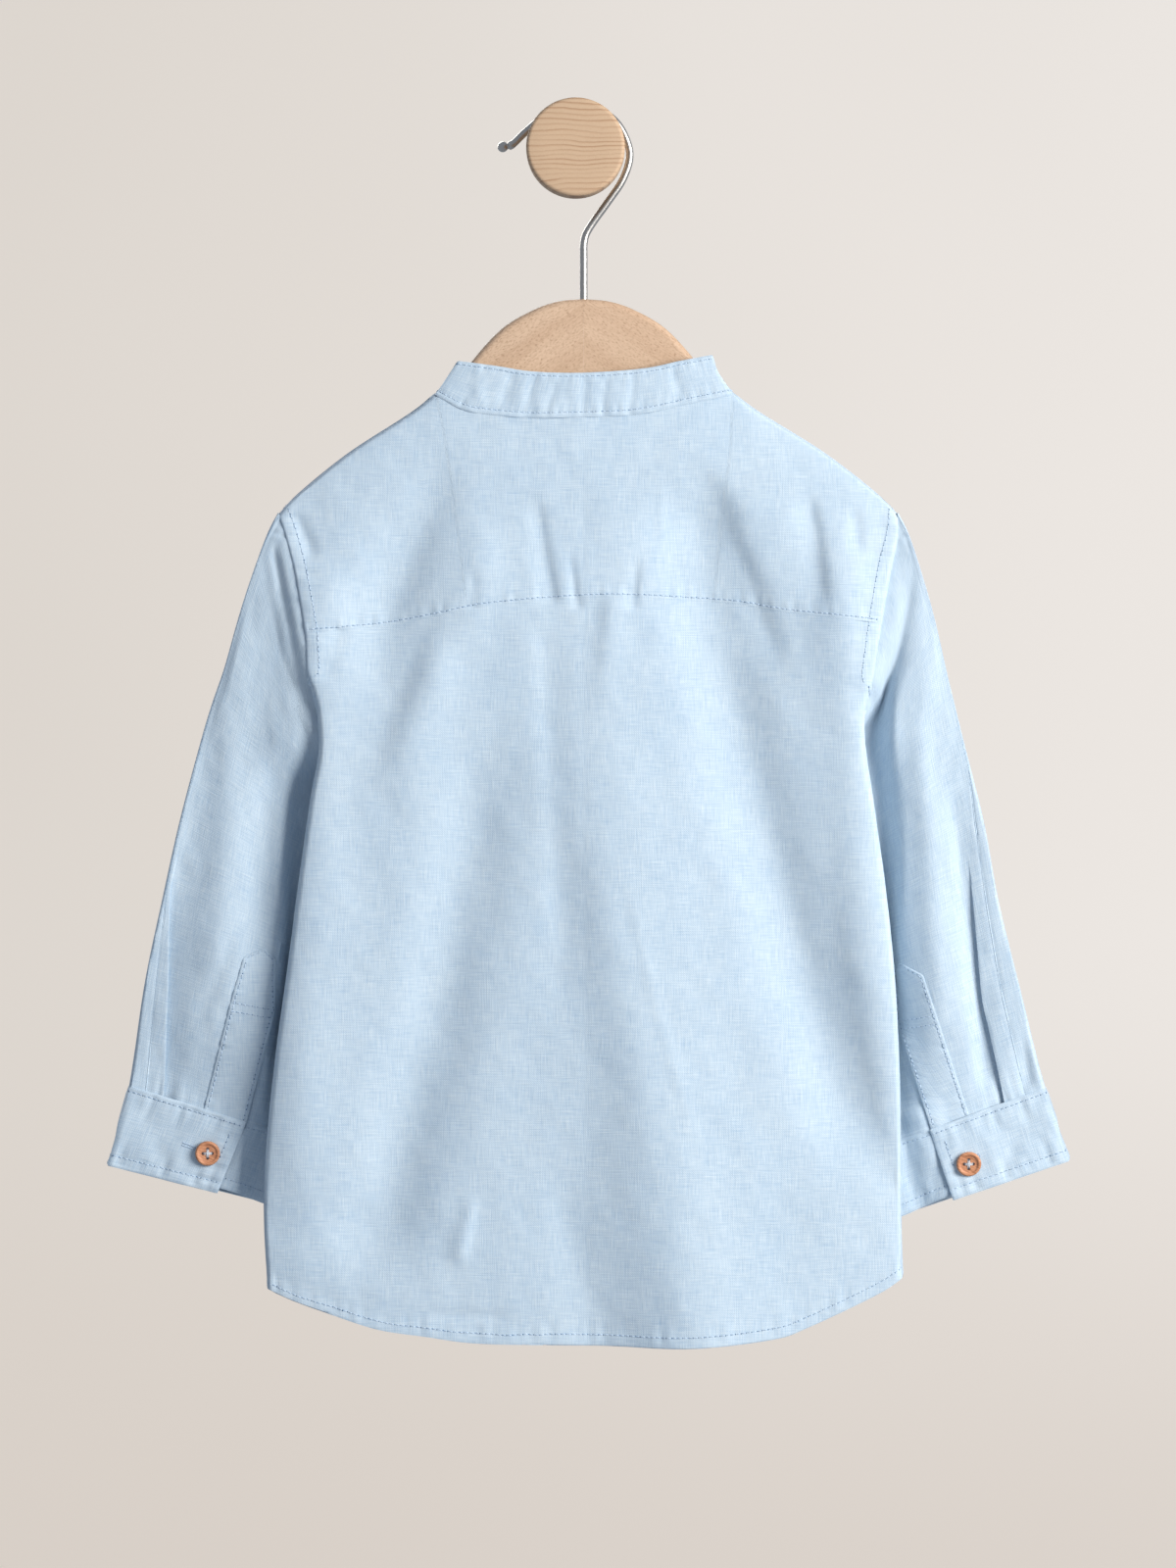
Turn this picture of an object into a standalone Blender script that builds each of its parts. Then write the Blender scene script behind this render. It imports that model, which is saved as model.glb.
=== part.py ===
"""A toddler's mandarin collar shirt, hung flat on a child's hanger and a wall peg.

The shirt's back faces -Y. The wall is the plane Y = 0, and the origin is the
centre of the peg's back face on that wall. All sizes below are millimetres.
A place on the garment is given by x, to the right, and down, the distance
below the peg's centre, so Z is minus down. Its Y comes from a height function.
"""

import math
from collections import namedtuple

import bmesh
import bpy
import numpy as np

MM = 0.001
COLLECTION = "mandarin_collar_shirt"
CUTTERS = "cutters"

# Finishes: colour, roughness and, for a metal, how metallic it is.
CHAMBRAY = ((0.53, 0.67, 0.83), 0.85)
BEECH = ((0.72, 0.50, 0.32), 0.5)
TAN = ((0.56, 0.26, 0.13), 0.45)
STEEL = ((0.62, 0.60, 0.57), 0.35, 1.0)

# Cloth walls, and the gaps at seams and under pieces laid on others.
CLOTH = 1.2
BAND_CLOTH = 1.6
WELD = 0.02
SEAM_GAP = 0.4
LAY_GAP = 0.4
SLEEVE_LAY_GAP = 0.85
EDGE_SLACK = 0.5
FOLD_GAP = 0.4
ARM_GAP = 1.3
UNDERARM_GAP = 1.8
UNDERARM_CLEAR = 8.0
NECK_GAP = 1.4
NECK_CORNER_GAP = 1.4
CENTRE = 4.0

# Depth of the hanging torso: its middle plane, and how far its two sides stand off.
MIDDLE_Y = -22.0
FOLD_RADIUS = 9.0
BACK_FOLD_DEPTH = 9.0
BACK_SWELL = 4.0
BACK_SWELL_REACH = 60.0
FRONT_FOLD_RADIUS = 8.0
FRONT_SHOULDER_DEPTH = 9.5
FRONT_SIDE_DEPTH = 7.0
FRONT_DEPTH = 13.0
FRONT_SWELL_START = 38.0
FRONT_SWELL_REACH = 35.0
FRONT_SETTLE_START = 190.0
FRONT_SETTLE_REACH = 60.0
FOLD_FADE = 0.25

# About how long each torso piece runs, to turn its seam gaps into fractions.
BACK_WIDTH = 280.0
BACK_DROP = 340.0
FRONT_WIDTH = 130.0
FRONT_DROP = 350.0
YOKE_DROP = 70.0
STRAP_RUN = 80.0
YOKE_ROWS = (0.0, 0.2, 0.4, 0.58, 0.74, 0.86, 0.94, 0.985, 1.0)

# Placket, front and yoke.
PLACKET_WIDTH = 24.0
FRONT_BUTTONS = 6
FIRST_FRONT_BUTTON = 196.0
FRONT_BUTTON_PITCH = 58.0

# Collar band: how far its lap runs past the centre, and the depth between the lapped ends.
COLLAR_LAP = 10.0
LAP_STEP = 1.1
COLLAR_LEAN = 0.98
COLLAR_ROWS = (0.0, 0.5, 1.0)
LAP_START = 0.04
LAP_EASE = 0.06

# Sleeves: the plane of the outer fold, the layer behind the torso and the layer by the wall.
SLEEVE_OUTER_Y = -14.0
OUTER_SETTLE = 110.0
SLEEVE_UNDER_Y = -12.3
SLEEVE_WALL_Y = -3.4
SLEEVE_SWELL = 11.0
CREST_END = 0.45
CREST_FALL = 0.37
GATHER_START = 395.0
GATHER_REACH = 37.0
GATHER_SWELL = 0.45
SLEEVE_EDGE_RADIUS = 9.0
SLEEVE_INNER_RADIUS = 5.0
SLEEVE_BLEND = 26.0
UNDERARM_BLEND = 9.0
SLEEVE_SETTLE = 70.0
UNDERARM_SETTLE = 22.0
SLEEVE_HEAD_UNDER_Y = -20.5
SLEEVE_HEAD_WALL_Y = -14.0
HEAD_PACE = 0.33
HEAD_REACH = 75.0
PLEAT_START = 325.0
PLEAT_REACH = 55.0
PLEAT_PLACE = 0.215
PLEAT_DROP = 2.8
PLEAT_INNER_DROP = 1.6
SLEEVE_ROWS = (0.0, 0.025, 0.06, 0.1, 0.15, 0.21, 0.28, 0.36, 0.44, 0.52, 0.6, 0.68, 0.76, 0.83, 0.89, 0.945, 1.0)

# Cuffs: their own depth, and the lap of their ends.
CUFF_VIEW_Y = -18.0
CUFF_FOLD_Y = -9.0
CUFF_WALL_Y = -4.2
CUFF_LAP = 0.24
CUFF_LAP_STEP = 1.1
CUFF_LAP_EASE = 0.12
CUFF_FALL_START = 0.02
CUFF_FALL = 0.16
CUFF_HEIGHT = 36.0
PLACKET_TIP_WIDTH = 0.15
PLACKET_FOOT = 0.985

# Buttons, 18 ligne.
BUTTON_RADIUS = 5.7
BUTTON_RIM = 2.2
BUTTON_DISH = 1.5
BUTTON_HOLE = 0.8
BUTTON_HOLE_SPREAD = 1.5

# Hanger, hook and peg.
HANGER_THICKNESS = 10.0
HANGER_ROUND = 3.0
HANGER_TOP = 67.8
HANGER_CENTRE = 3.7
HANGER_BORE_DEPTH = 14.0
HANGER_SAW = 300.0
WIRE_RADIUS = 1.75
WIRE_BALL = 2.45
BORE_CLEARANCE = 0.35
PEG_NECK_RADIUS = 18.0
PEG_NECK_LENGTH = 32.0
PEG_DISC_RADIUS = 22.6
PEG_DISC_THICKNESS = 14.0
PEG_ROUND = 2.0

Edge = namedtuple("Edge", "down left right")
# The torso's outline. From 170 to 260 it runs under the sleeve heads.
TORSO_EDGE = (
    Edge(111.3, -65.0, 73.0),
    Edge(120.3, -76.2, 85.3),
    Edge(138.3, -104.1, 114.1),
    Edge(156.3, -126.6, 137.5),
    Edge(166.6, -136.6, 148.0),
    Edge(183.0, -145.5, 156.4),
    Edge(202.0, -141.0, 152.5),
    Edge(220.0, -132.5, 147.0),
    Edge(238.0, -125.5, 140.0),
    Edge(250.0, -120.8, 134.8),
    Edge(262.0, -118.4, 132.4),
    Edge(278.0, -118.2, 133.2),
    Edge(297.0, -121.7, 136.2),
    Edge(335.0, -127.1, 142.0),
    Edge(382.0, -133.4, 147.0),
    Edge(421.0, -138.8, 149.4),
    Edge(465.0, -143.3, 150.1),
    Edge(494.0, -143.7, 150.3),
    Edge(521.0, -142.2, 151.0),
)

Spot = namedtuple("Spot", "x down")
NECK_SEAM = (
    Spot(-65.0, 111.3),
    Spot(-51.6, 118.4),
    Spot(-41.2, 120.5),
    Spot(-19.5, 122.3),
    Spot(17.6, 121.5),
    Spot(33.1, 119.9),
    Spot(48.6, 116.5),
    Spot(73.0, 111.3),
)
COLLAR_TOP = (
    Spot(-54.2, 97.3),
    Spot(-36.0, 99.8),
    Spot(-19.5, 102.3),
    Spot(3.9, 102.9),
    Spot(31.3, 100.9),
    Spot(48.0, 97.4),
    Spot(62.6, 94.6),
)
# The same two lines on the wall side, from the right fold round to the left one.
FRONT_NECK = (
    Spot(73.0, 111.3),
    Spot(62.0, 131.0),
    Spot(49.0, 148.0),
    Spot(30.0, 161.0),
    Spot(CENTRE, 167.0),
    Spot(-22.0, 161.0),
    Spot(-41.0, 148.0),
    Spot(-54.0, 131.0),
    Spot(-65.0, 111.3),
)
FRONT_COLLAR_TOP = (
    Spot(62.6, 94.6),
    Spot(55.0, 113.0),
    Spot(43.0, 129.0),
    Spot(26.0, 142.5),
    Spot(CENTRE, 148.0),
    Spot(-18.0, 142.5),
    Spot(-35.0, 129.0),
    Spot(-47.0, 113.0),
    Spot(-54.2, 97.3),
)
SHOULDER_LEFT = (
    Spot(-136.6, 166.6),
    Spot(-126.6, 156.3),
    Spot(-104.1, 138.3),
    Spot(-76.2, 120.3),
    Spot(-65.0, 111.3),
)
SHOULDER_RIGHT = (
    Spot(148.0, 166.6),
    Spot(137.5, 156.3),
    Spot(114.1, 138.3),
    Spot(85.3, 120.3),
    Spot(73.0, 111.3),
)
YOKE_SEAM = (
    Spot(-122.6, 221.2),
    Spot(-87.9, 217.9),
    Spot(-60.0, 212.8),
    Spot(-43.8, 209.4),
    Spot(-11.4, 206.2),
    Spot(17.8, 204.9),
    Spot(50.7, 206.2),
    Spot(75.0, 208.0),
    Spot(94.8, 211.6),
    Spot(119.1, 214.3),
    Spot(138.6, 216.6),
)
# Armhole seams from the yoke seam's ends: up to the shoulder, and down to the underarm.
ARMHOLE_TOP_LEFT = (
    Spot(-122.6, 221.2),
    Spot(-126.2, 201.7),
    Spot(-128.9, 189.1),
    Spot(-132.9, 174.7),
    Spot(-136.6, 166.6),
)
ARMHOLE_TOP_RIGHT = (
    Spot(138.6, 216.6),
    Spot(142.9, 193.2),
    Spot(146.3, 179.2),
    Spot(148.0, 166.6),
)
ARMHOLE_LOW_LEFT = (Spot(-122.6, 221.2), Spot(-121.7, 235.5), Spot(-120.6, 248.0), Spot(-118.9, 261.5))
ARMHOLE_LOW_RIGHT = (Spot(138.6, 216.6), Spot(137.0, 227.0), Spot(135.0, 240.0), Spot(132.9, 261.5))
# The wall side's armholes, from the shoulder to the underarm, and where the yoke ends there.
ARMHOLE_FRONT_LEFT = (
    Spot(-136.6, 166.6),
    Spot(-127.0, 184.0),
    Spot(-120.5, 205.0),
    Spot(-117.5, 228.0),
    Spot(-117.4, 248.0),
    Spot(-118.9, 261.5),
)
ARMHOLE_FRONT_RIGHT = (
    Spot(148.0, 166.6),
    Spot(139.5, 184.0),
    Spot(133.5, 205.0),
    Spot(131.0, 228.0),
    Spot(131.2, 248.0),
    Spot(132.9, 261.5),
)
HEM = (
    Spot(-142.2, 521.5),
    Spot(-129.1, 527.5),
    Spot(-112.7, 533.4),
    Spot(-91.1, 540.6),
    Spot(-69.0, 544.2),
    Spot(-41.8, 547.8),
    Spot(14.7, 549.0),
    Spot(53.4, 549.6),
    Spot(89.4, 546.0),
    Spot(105.6, 541.0),
    Spot(138.4, 525.7),
    Spot(151.0, 517.5),
)
FRONT_HEM_LIFT = 4.0

Fold = namedtuple("Fold", "x_top down_top x_end down_end width height")
# Folds of the back: height is towards -Y, so a trough is negative.
BACK_FOLDS = (
    Fold(-14.0, 235.0, 22.0, 560.0, 15.0, -4.0),
    Fold(12.0, 205.0, 14.0, 270.0, 7.0, -3.0),
    Fold(46.0, 200.0, 72.0, 560.0, 17.0, 3.5),
    Fold(66.0, 160.0, 96.0, 230.0, 8.0, -4.0),
    Fold(88.0, 240.0, 128.0, 470.0, 11.0, -4.0),
    Fold(-58.0, 165.0, -88.0, 285.0, 10.0, -3.5),
    Fold(-78.0, 290.0, -92.0, 560.0, 18.0, 3.0),
    Fold(-40.0, 320.0, -70.0, 520.0, 12.0, -3.0),
)
FRONT_FOLDS = (
    Fold(-60.0, 250.0, -80.0, 560.0, 16.0, -2.0),
    Fold(66.0, 240.0, 84.0, 560.0, 16.0, -2.0),
)

Leave = namedtuple("Leave", "c degrees")
# Direction in which the sleeve leaves its armhole, outwards from straight down.
HEAD_LEAVES = (Leave(0.0, 29.0), Leave(0.25, 60.0), Leave(0.5, 80.0), Leave(0.8, 75.0), Leave(1.0, 12.0))

SleeveRow = namedtuple("SleeveRow", "outer_down outer_x inner_x inner_down")
# A sleeve's flat width at each place on its outer fold, from the shoulder to the cuff seam.
SLEEVE_LEFT = (
    SleeveRow(166.6, -136.6, -118.9, 261.5),
    SleeveRow(183.0, -145.5, -119.6, 267.0),
    SleeveRow(201.5, -151.3, -119.4, 273.0),
    SleeveRow(219.0, -156.7, -117.5, 281.0),
    SleeveRow(237.0, -161.7, -113.5, 291.0),
    SleeveRow(255.0, -168.0, -110.5, 304.0),
    SleeveRow(273.0, -173.4, -108.5, 319.0),
    SleeveRow(309.0, -182.9, -107.5, 347.0),
    SleeveRow(345.0, -190.9, -109.0, 377.0),
    SleeveRow(381.0, -198.6, -113.0, 408.0),
    SleeveRow(417.0, -204.4, -121.0, 442.0),
    SleeveRow(431.7, -206.9, -125.6, 456.5),
)
SLEEVE_RIGHT = (
    SleeveRow(166.6, 148.0, 132.9, 261.5),
    SleeveRow(183.0, 156.4, 133.8, 267.0),
    SleeveRow(201.5, 161.4, 134.0, 273.0),
    SleeveRow(219.0, 166.3, 132.0, 281.0),
    SleeveRow(237.0, 170.4, 128.0, 291.0),
    SleeveRow(255.0, 174.9, 124.5, 304.0),
    SleeveRow(273.0, 179.4, 122.0, 319.0),
    SleeveRow(309.0, 188.4, 121.5, 347.0),
    SleeveRow(345.0, 195.1, 123.0, 377.0),
    SleeveRow(381.0, 204.1, 127.0, 410.0),
    SleeveRow(417.0, 213.2, 133.0, 446.0),
    SleeveRow(432.4, 217.6, 136.0, 462.0),
)

Cuff = namedtuple("Cuff", "seam_outer seam_inner hem_outer hem_inner seam_lap hem_lap button")
# Corners of each flattened cuff, where its lapped end lies across it, and its button.
CUFF_LEFT = Cuff(
    seam_outer=Spot(-206.9, 431.7),
    seam_inner=Spot(-125.6, 456.5),
    hem_outer=Spot(-217.1, 467.2),
    hem_inner=Spot(-134.0, 488.0),
    seam_lap=0.667,
    hem_lap=0.62,
    button=Spot(-170.0, 461.7),
)
CUFF_RIGHT = Cuff(
    seam_outer=Spot(217.6, 432.4),
    seam_inner=Spot(136.0, 462.0),
    hem_outer=Spot(228.9, 465.0),
    hem_inner=Spot(143.0, 494.0),
    seam_lap=0.656,
    hem_lap=0.634,
    button=Spot(181.4, 466.5),
)

Placket = namedtuple("Placket", "tip outer_shoulder inner_shoulder outer_base inner_base")
SLEEVE_PLACKET_LEFT = Placket(
    Spot(-143.7, 367.3), Spot(-152.7, 370.9), Spot(-138.3, 372.3), Spot(-171.0, 441.6), Spot(-152.9, 447.4)
)
SLEEVE_PLACKET_RIGHT = Placket(
    Spot(149.7, 374.1), Spot(160.0, 379.4), Spot(147.4, 377.7), Spot(181.6, 444.0), Spot(164.3, 450.8)
)

# The hanger's left half, from the joint at the top round to the joint below; x is off the joint.
HANGER_OUTLINE = (
    Spot(0.0, 67.8),
    Spot(-11.6, 68.9),
    Spot(-23.2, 72.8),
    Spot(-37.8, 81.5),
    Spot(-52.0, 97.0),
    Spot(-58.5, 108.0),
    Spot(-66.0, 117.5),
    Spot(-78.0, 126.0),
    Spot(-94.0, 136.0),
    Spot(-108.0, 145.8),
    Spot(-119.0, 154.8),
    Spot(-126.5, 162.5),
    Spot(-129.5, 168.0),
    Spot(-128.0, 173.0),
    Spot(-122.5, 174.5),
    Spot(-113.0, 167.5),
    Spot(-96.0, 153.5),
    Spot(-77.0, 140.5),
    Spot(-56.0, 128.0),
    Spot(-32.0, 116.5),
    Spot(-14.0, 111.8),
    Spot(0.0, 110.8),
)
# The hook's wire, from its ball tip over the peg's neck and down into the hanger.
HOOK_ROUTE = (
    Spot(-33.6, -2.5),
    Spot(-29.3, -3.6),
    Spot(-23.2, -9.3),
    Spot(-13.7, -16.6),
    Spot(0.0, -20.1),
    Spot(12.0, -18.6),
    Spot(19.3, -13.2),
    Spot(23.9, -4.4),
    Spot(24.8, 3.3),
    Spot(21.4, 13.2),
    Spot(14.5, 23.4),
    Spot(6.4, 34.8),
    Spot(3.9, 41.0),
    Spot(3.7, 50.0),
    Spot(3.7, 66.0),
    Spot(3.7, 80.8),
)


def ease(value):
    """Smooth step from 0 to 1 as value goes from 0 to 1."""
    value = np.clip(value, 0.0, 1.0)
    return value * value * (3.0 - 2.0 * value)


def rounding(distance, radius):
    """Quarter circle from 0 at a fold to 1 at the radius away from it."""
    inward = 1.0 - np.clip(distance / radius, 0.0, 1.0)
    return np.sqrt(1.0 - inward * inward)


def mix(first, second, amount):
    """Blend of two values or points."""
    return first + (second - first) * amount


def crowded(count):
    """Fractions from 0 to 1 that crowd towards both ends."""
    return (1.0 - np.cos(np.linspace(0.0, math.pi, count + 1))) / 2.0


def smooth_path(spots, steps=8):
    """Points of a smooth curve through spots, with steps to each of its stretches."""
    points = np.array(spots, dtype=float)
    padded = np.vstack((2 * points[0] - points[1], points, 2 * points[-1] - points[-2]))
    found = []
    for first, start, end, last in zip(padded, padded[1:], padded[2:], padded[3:]):
        for t in np.arange(steps) / steps:
            pull = (end - first) * t + (2 * first - 5 * start + 4 * end - last) * t**2
            found.append(start + 0.5 * (pull + (3 * start - first - 3 * end + last) * t**3))
    found.append(points[-1])
    return np.array(found)


def seam_line(*stretches):
    """Function that gives the point at a fraction of the length of joined stretches."""
    points = np.vstack([smooth_path(stretch) for stretch in stretches])
    steps = np.hypot(*np.diff(points, axis=0).T)
    along = np.concatenate(([0.0], np.cumsum(steps)))

    def place(fraction):
        return np.array([np.interp(fraction * along[-1], along, values) for values in points.T])

    return place


def line_length(spots):
    """Length of the smooth curve through spots."""
    return float(np.sum(np.hypot(*np.diff(smooth_path(spots), axis=0).T)))


def column(rows, key, value, place):
    """Value column of a table at a place on its key column."""
    return np.interp(place, [getattr(row, key) for row in rows], [getattr(row, value) for row in rows])


def edge_distance(x, down):
    """Distance of a place from the torso's outline; 0 along the fold itself."""
    nearest = []
    for side, sign in (("left", 1.0), ("right", -1.0)):
        here = column(TORSO_EDGE, "down", side, down)
        slope = column(TORSO_EDGE, "down", side, down + 2.0) - column(TORSO_EDGE, "down", side, down - 2.0)
        nearest.append(sign * (x - here) / math.hypot(1.0, slope / 4.0))
    return max(min(nearest) - EDGE_SLACK, 0.0)


def fold_relief(folds, x, down):
    """Height of a table of folds at a place."""
    height = 0.0
    for fold in folds:
        run = np.array((fold.x_end - fold.x_top, fold.down_end - fold.down_top))
        reach = np.array((x - fold.x_top, down - fold.down_top))
        length = math.hypot(*run)
        along = float(reach @ run) / length**2
        aside = float(reach[0] * run[1] - reach[1] * run[0]) / length
        ends = ease(along / FOLD_FADE) * ease((1.0 - along) / FOLD_FADE)
        height += fold.height * math.exp(-((aside / fold.width) ** 2)) * ends
    return height


def back_y(x, down):
    """Y of the torso's back, which faces -Y."""
    distance = edge_distance(x, down)
    depth = BACK_FOLD_DEPTH * rounding(distance, FOLD_RADIUS)
    depth += BACK_SWELL * ease(distance / BACK_SWELL_REACH)
    depth += fold_relief(BACK_FOLDS, x, down) * ease(distance / (2 * FOLD_RADIUS))
    return MIDDLE_Y - depth


def front_y(x, down):
    """Y of the torso's front, which faces the wall."""
    distance = edge_distance(x, down)
    settled = ease((down - FRONT_SETTLE_START) / FRONT_SETTLE_REACH)
    fold_depth = mix(FRONT_SHOULDER_DEPTH, FRONT_SIDE_DEPTH, settled)
    depth = fold_depth * rounding(distance, FRONT_FOLD_RADIUS)
    swell = ease((distance - FRONT_SWELL_START) / FRONT_SWELL_REACH)
    depth += (FRONT_DEPTH - fold_depth + fold_relief(FRONT_FOLDS, x, down)) * swell
    return MIDDLE_Y + depth


def back_panel_y(x, down):
    """Y of the back, kept clear of the side seams' plane."""
    return min(back_y(x, down), MIDDLE_Y - FOLD_GAP)


def front_panel_y(x, down):
    """Y of a front, kept clear of the side seams' plane."""
    return max(front_y(x, down), MIDDLE_Y + FOLD_GAP)


def panel(top, bottom, left, right, across, downward):
    """Grid of (x, down) places of a panel between its four seam lines."""
    corners = [[top(0.0), top(1.0)], [bottom(0.0), bottom(1.0)]]
    grid = []
    for v in downward:
        row = []
        for u in across:
            edges = mix(top(u), bottom(u), v) + mix(left(v), right(v), u)
            row.append(edges - mix(mix(corners[0][0], corners[0][1], u), mix(corners[1][0], corners[1][1], u), v))
        grid.append(row)
    return grid


def raised(grid, height):
    """The grid's places as points in space, on a height function."""
    return [[(x, height(x, down), -down) for x, down in row] for row in grid]


def make_collection(name):
    """New collection in the scene."""
    made = bpy.data.collections.new(name)
    bpy.context.scene.collection.children.link(made)
    return made


def material(name, colour, roughness, metallic=0.0):
    """Principled material of one colour."""
    made = bpy.data.materials.new(name)
    made.use_nodes = True
    shader = made.node_tree.nodes["Principled BSDF"]
    shader.inputs["Base Color"].default_value = (*colour, 1.0)
    shader.inputs["Roughness"].default_value = roughness
    shader.inputs["Metallic"].default_value = metallic
    return made


def new_object(name, data, finish, home):
    """Object of some data in the home collection, with its own material."""
    made = bpy.data.objects.new(name, data)
    made.data.materials.append(material(name, *finish))
    bpy.data.collections[home].objects.link(made)
    return made


def solidify(piece, thickness):
    """Give an open surface its wall, half to each side."""
    wall = piece.modifiers.new("cloth", "SOLIDIFY")
    wall.thickness = thickness * MM
    wall.offset = 0.0
    wall.use_even_offset = True
    return wall


def sheet_object(name, grids, thickness, finish):
    """Wall of cloth over one or more grids of points in millimetres, welded where they meet."""
    mesh = bpy.data.meshes.new(name)
    cloth = bmesh.new()
    for grid in grids:
        rows = [[cloth.verts.new([c * MM for c in point]) for point in row] for row in grid]
        for upper, lower in zip(rows, rows[1:]):
            for j in range(len(upper) - 1):
                cloth.faces.new((upper[j], upper[j + 1], lower[j + 1], lower[j]))
    bmesh.ops.remove_doubles(cloth, verts=cloth.verts, dist=WELD * MM)
    bmesh.ops.recalc_face_normals(cloth, faces=cloth.faces)
    cloth.to_mesh(mesh)
    cloth.free()
    mesh.shade_smooth()
    piece = new_object(name, mesh, finish, COLLECTION)
    solidify(piece, thickness)
    return piece


def inset(gap, length):
    """Fraction of a length that leaves the gap at both ends, as a stretch of fractions."""
    return gap / length, 1.0 - gap / length


def squeezed(fractions, low, high):
    """Fractions from 0 to 1 brought between low and high."""
    return mix(low, high, np.asarray(fractions))


def inward(side):
    """Sign of x from a side's outline towards the torso's middle."""
    return 1.0 if side == "left" else -1.0


def clear_of_sleeve(spots, side):
    """Armhole spots of a torso piece, moved in from the sleeve's."""
    return [Spot(s.x + inward(side) * ARM_GAP, s.down) for s in spots]


def torso_side(armhole, side, foot):
    """Boundary spots of a torso panel down its armhole and past the underarm to the hem."""
    underarm = armhole[-1]
    spots = clear_of_sleeve(armhole[:-1], side)
    spots.append(Spot(underarm.x + inward(side) * UNDERARM_GAP, underarm.down + UNDERARM_GAP))
    top = underarm.down + UNDERARM_CLEAR
    spots += [Spot(getattr(row, side), row.down) for row in TORSO_EDGE if top < row.down < foot.down]
    spots[-1] = foot
    return spots


def back_panel():
    """Back, from the yoke seam to the curved hem."""
    across = squeezed(crowded(22), *inset(SEAM_GAP / 2, BACK_WIDTH))
    downward = squeezed(np.linspace(0.0, 1.0, 19), SEAM_GAP / 2 / BACK_DROP, 1.0)
    left = seam_line(torso_side(ARMHOLE_LOW_LEFT, "left", HEM[0]))
    right = seam_line(torso_side(ARMHOLE_LOW_RIGHT, "right", HEM[-1]))
    top = clear_of_sleeve(YOKE_SEAM[:1], "left") + list(YOKE_SEAM[1:-1]) + clear_of_sleeve(YOKE_SEAM[-1:], "right")
    grid = panel(seam_line(top), seam_line(HEM), left, right, across, downward)
    sheet_object("back_panel", [raised(grid, back_panel_y)], CLOTH, CHAMBRAY)


def yoke_columns():
    """Fractions across the yoke with a column on each neck point, and the two kinks' numbers."""
    ridge_left, neck, ridge_right = (line_length(s) for s in (SHOULDER_LEFT, NECK_SEAM, SHOULDER_RIGHT))
    whole = ridge_left + neck + ridge_right
    low, high = inset(ARM_GAP, whole)
    left = np.linspace(low, ridge_left / whole, 8)
    middle = np.linspace(ridge_left / whole, 1.0 - ridge_right / whole, 11)
    right = np.linspace(1.0 - ridge_right / whole, high, 8)
    return np.concatenate((left, middle[1:], right[1:])), len(left) - 1, len(left) + len(middle) - 2


def front_split(armhole):
    """The wall side's armhole above and below the yoke's end there."""
    return armhole[:2], armhole[1:]


def back_yoke():
    """Yoke over both shoulders, from the back seam to the seam on the wall side."""
    columns, left_kink, right_kink = yoke_columns()
    rows = squeezed(YOKE_ROWS, SEAM_GAP / 2 / YOKE_DROP, 1.0)
    top = seam_line(SHOULDER_LEFT, NECK_SEAM, SHOULDER_RIGHT[::-1])
    grid = panel(
        seam_line(YOKE_SEAM), top, seam_line(ARMHOLE_TOP_LEFT), seam_line(ARMHOLE_TOP_RIGHT), columns, rows
    )
    grids = [raised(grid, back_y)]
    strap_rows = 1.0 - rows[::-1]
    for kinks, armhole, neck_end in (
        (slice(0, left_kink + 1), ARMHOLE_FRONT_LEFT, FRONT_NECK[-2]),
        (slice(right_kink, None), ARMHOLE_FRONT_RIGHT, FRONT_NECK[1]),
    ):
        fractions = columns[kinks]
        ridge = [top(f) for f in fractions]
        seam = (armhole[1], neck_end)
        armhole_inset = (ARM_GAP / STRAP_RUN, 1.0)
        if kinks.start:
            seam = seam[::-1]
            armhole_inset = (0.0, 1.0 - ARM_GAP / STRAP_RUN)
        strap = []
        shares = (fractions - fractions[0]) / (fractions[-1] - fractions[0])
        shares = squeezed(shares, *armhole_inset)
        for v in strap_rows:
            strap.append([mix(r, mix(np.array(seam[0]), np.array(seam[1]), s), v) for r, s in zip(ridge, shares)])
        grids.append(raised(strap, front_y))
    sheet_object("back_yoke", grids, CLOTH, CHAMBRAY)


def front_hem():
    """The wall side's hem, a little shorter at its middle than the back's."""
    return [Spot(s.x, s.down - FRONT_HEM_LIFT * ease((s.down - HEM[0].down) / 10.0)) for s in HEM]


def front_panel(name, armhole, side, foot, neckline):
    """One front, from the yoke's seam to the hem; its neckline ends at its edge by the centre."""
    corner = neckline[-1]
    hem = front_hem()
    hem_end = Spot(corner.x, float(np.interp(corner.x, [s.x for s in hem], [s.down for s in hem])))
    outside = [s for s in hem if (s.x - corner.x) * (foot.x - corner.x) > 0]
    outside.sort(key=lambda s: -abs(s.x - corner.x))
    top = seam_line((clear_of_sleeve(armhole[1:2], side)[0], neckline[0]))
    outer = seam_line(torso_side(front_split(armhole)[1], side, foot))
    inner = seam_line(neckline, (corner, hem_end))
    across = squeezed(1.0 - np.cos(np.linspace(0.0, math.pi / 2, 12)), *inset(SEAM_GAP / 2, FRONT_WIDTH))
    neck_share = line_length(neckline) / (line_length(neckline) + hem_end.down - corner.down)
    downward = np.concatenate((np.linspace(0.0, neck_share, 5)[:-1], np.linspace(neck_share, 1.0, 15)))
    downward = np.maximum(downward, SEAM_GAP / FRONT_DROP)
    grid = panel(top, seam_line(outside + [hem_end]), outer, inner, across, downward)
    sheet_object(name, [raised(grid, front_panel_y)], CLOTH, CHAMBRAY)


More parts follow.
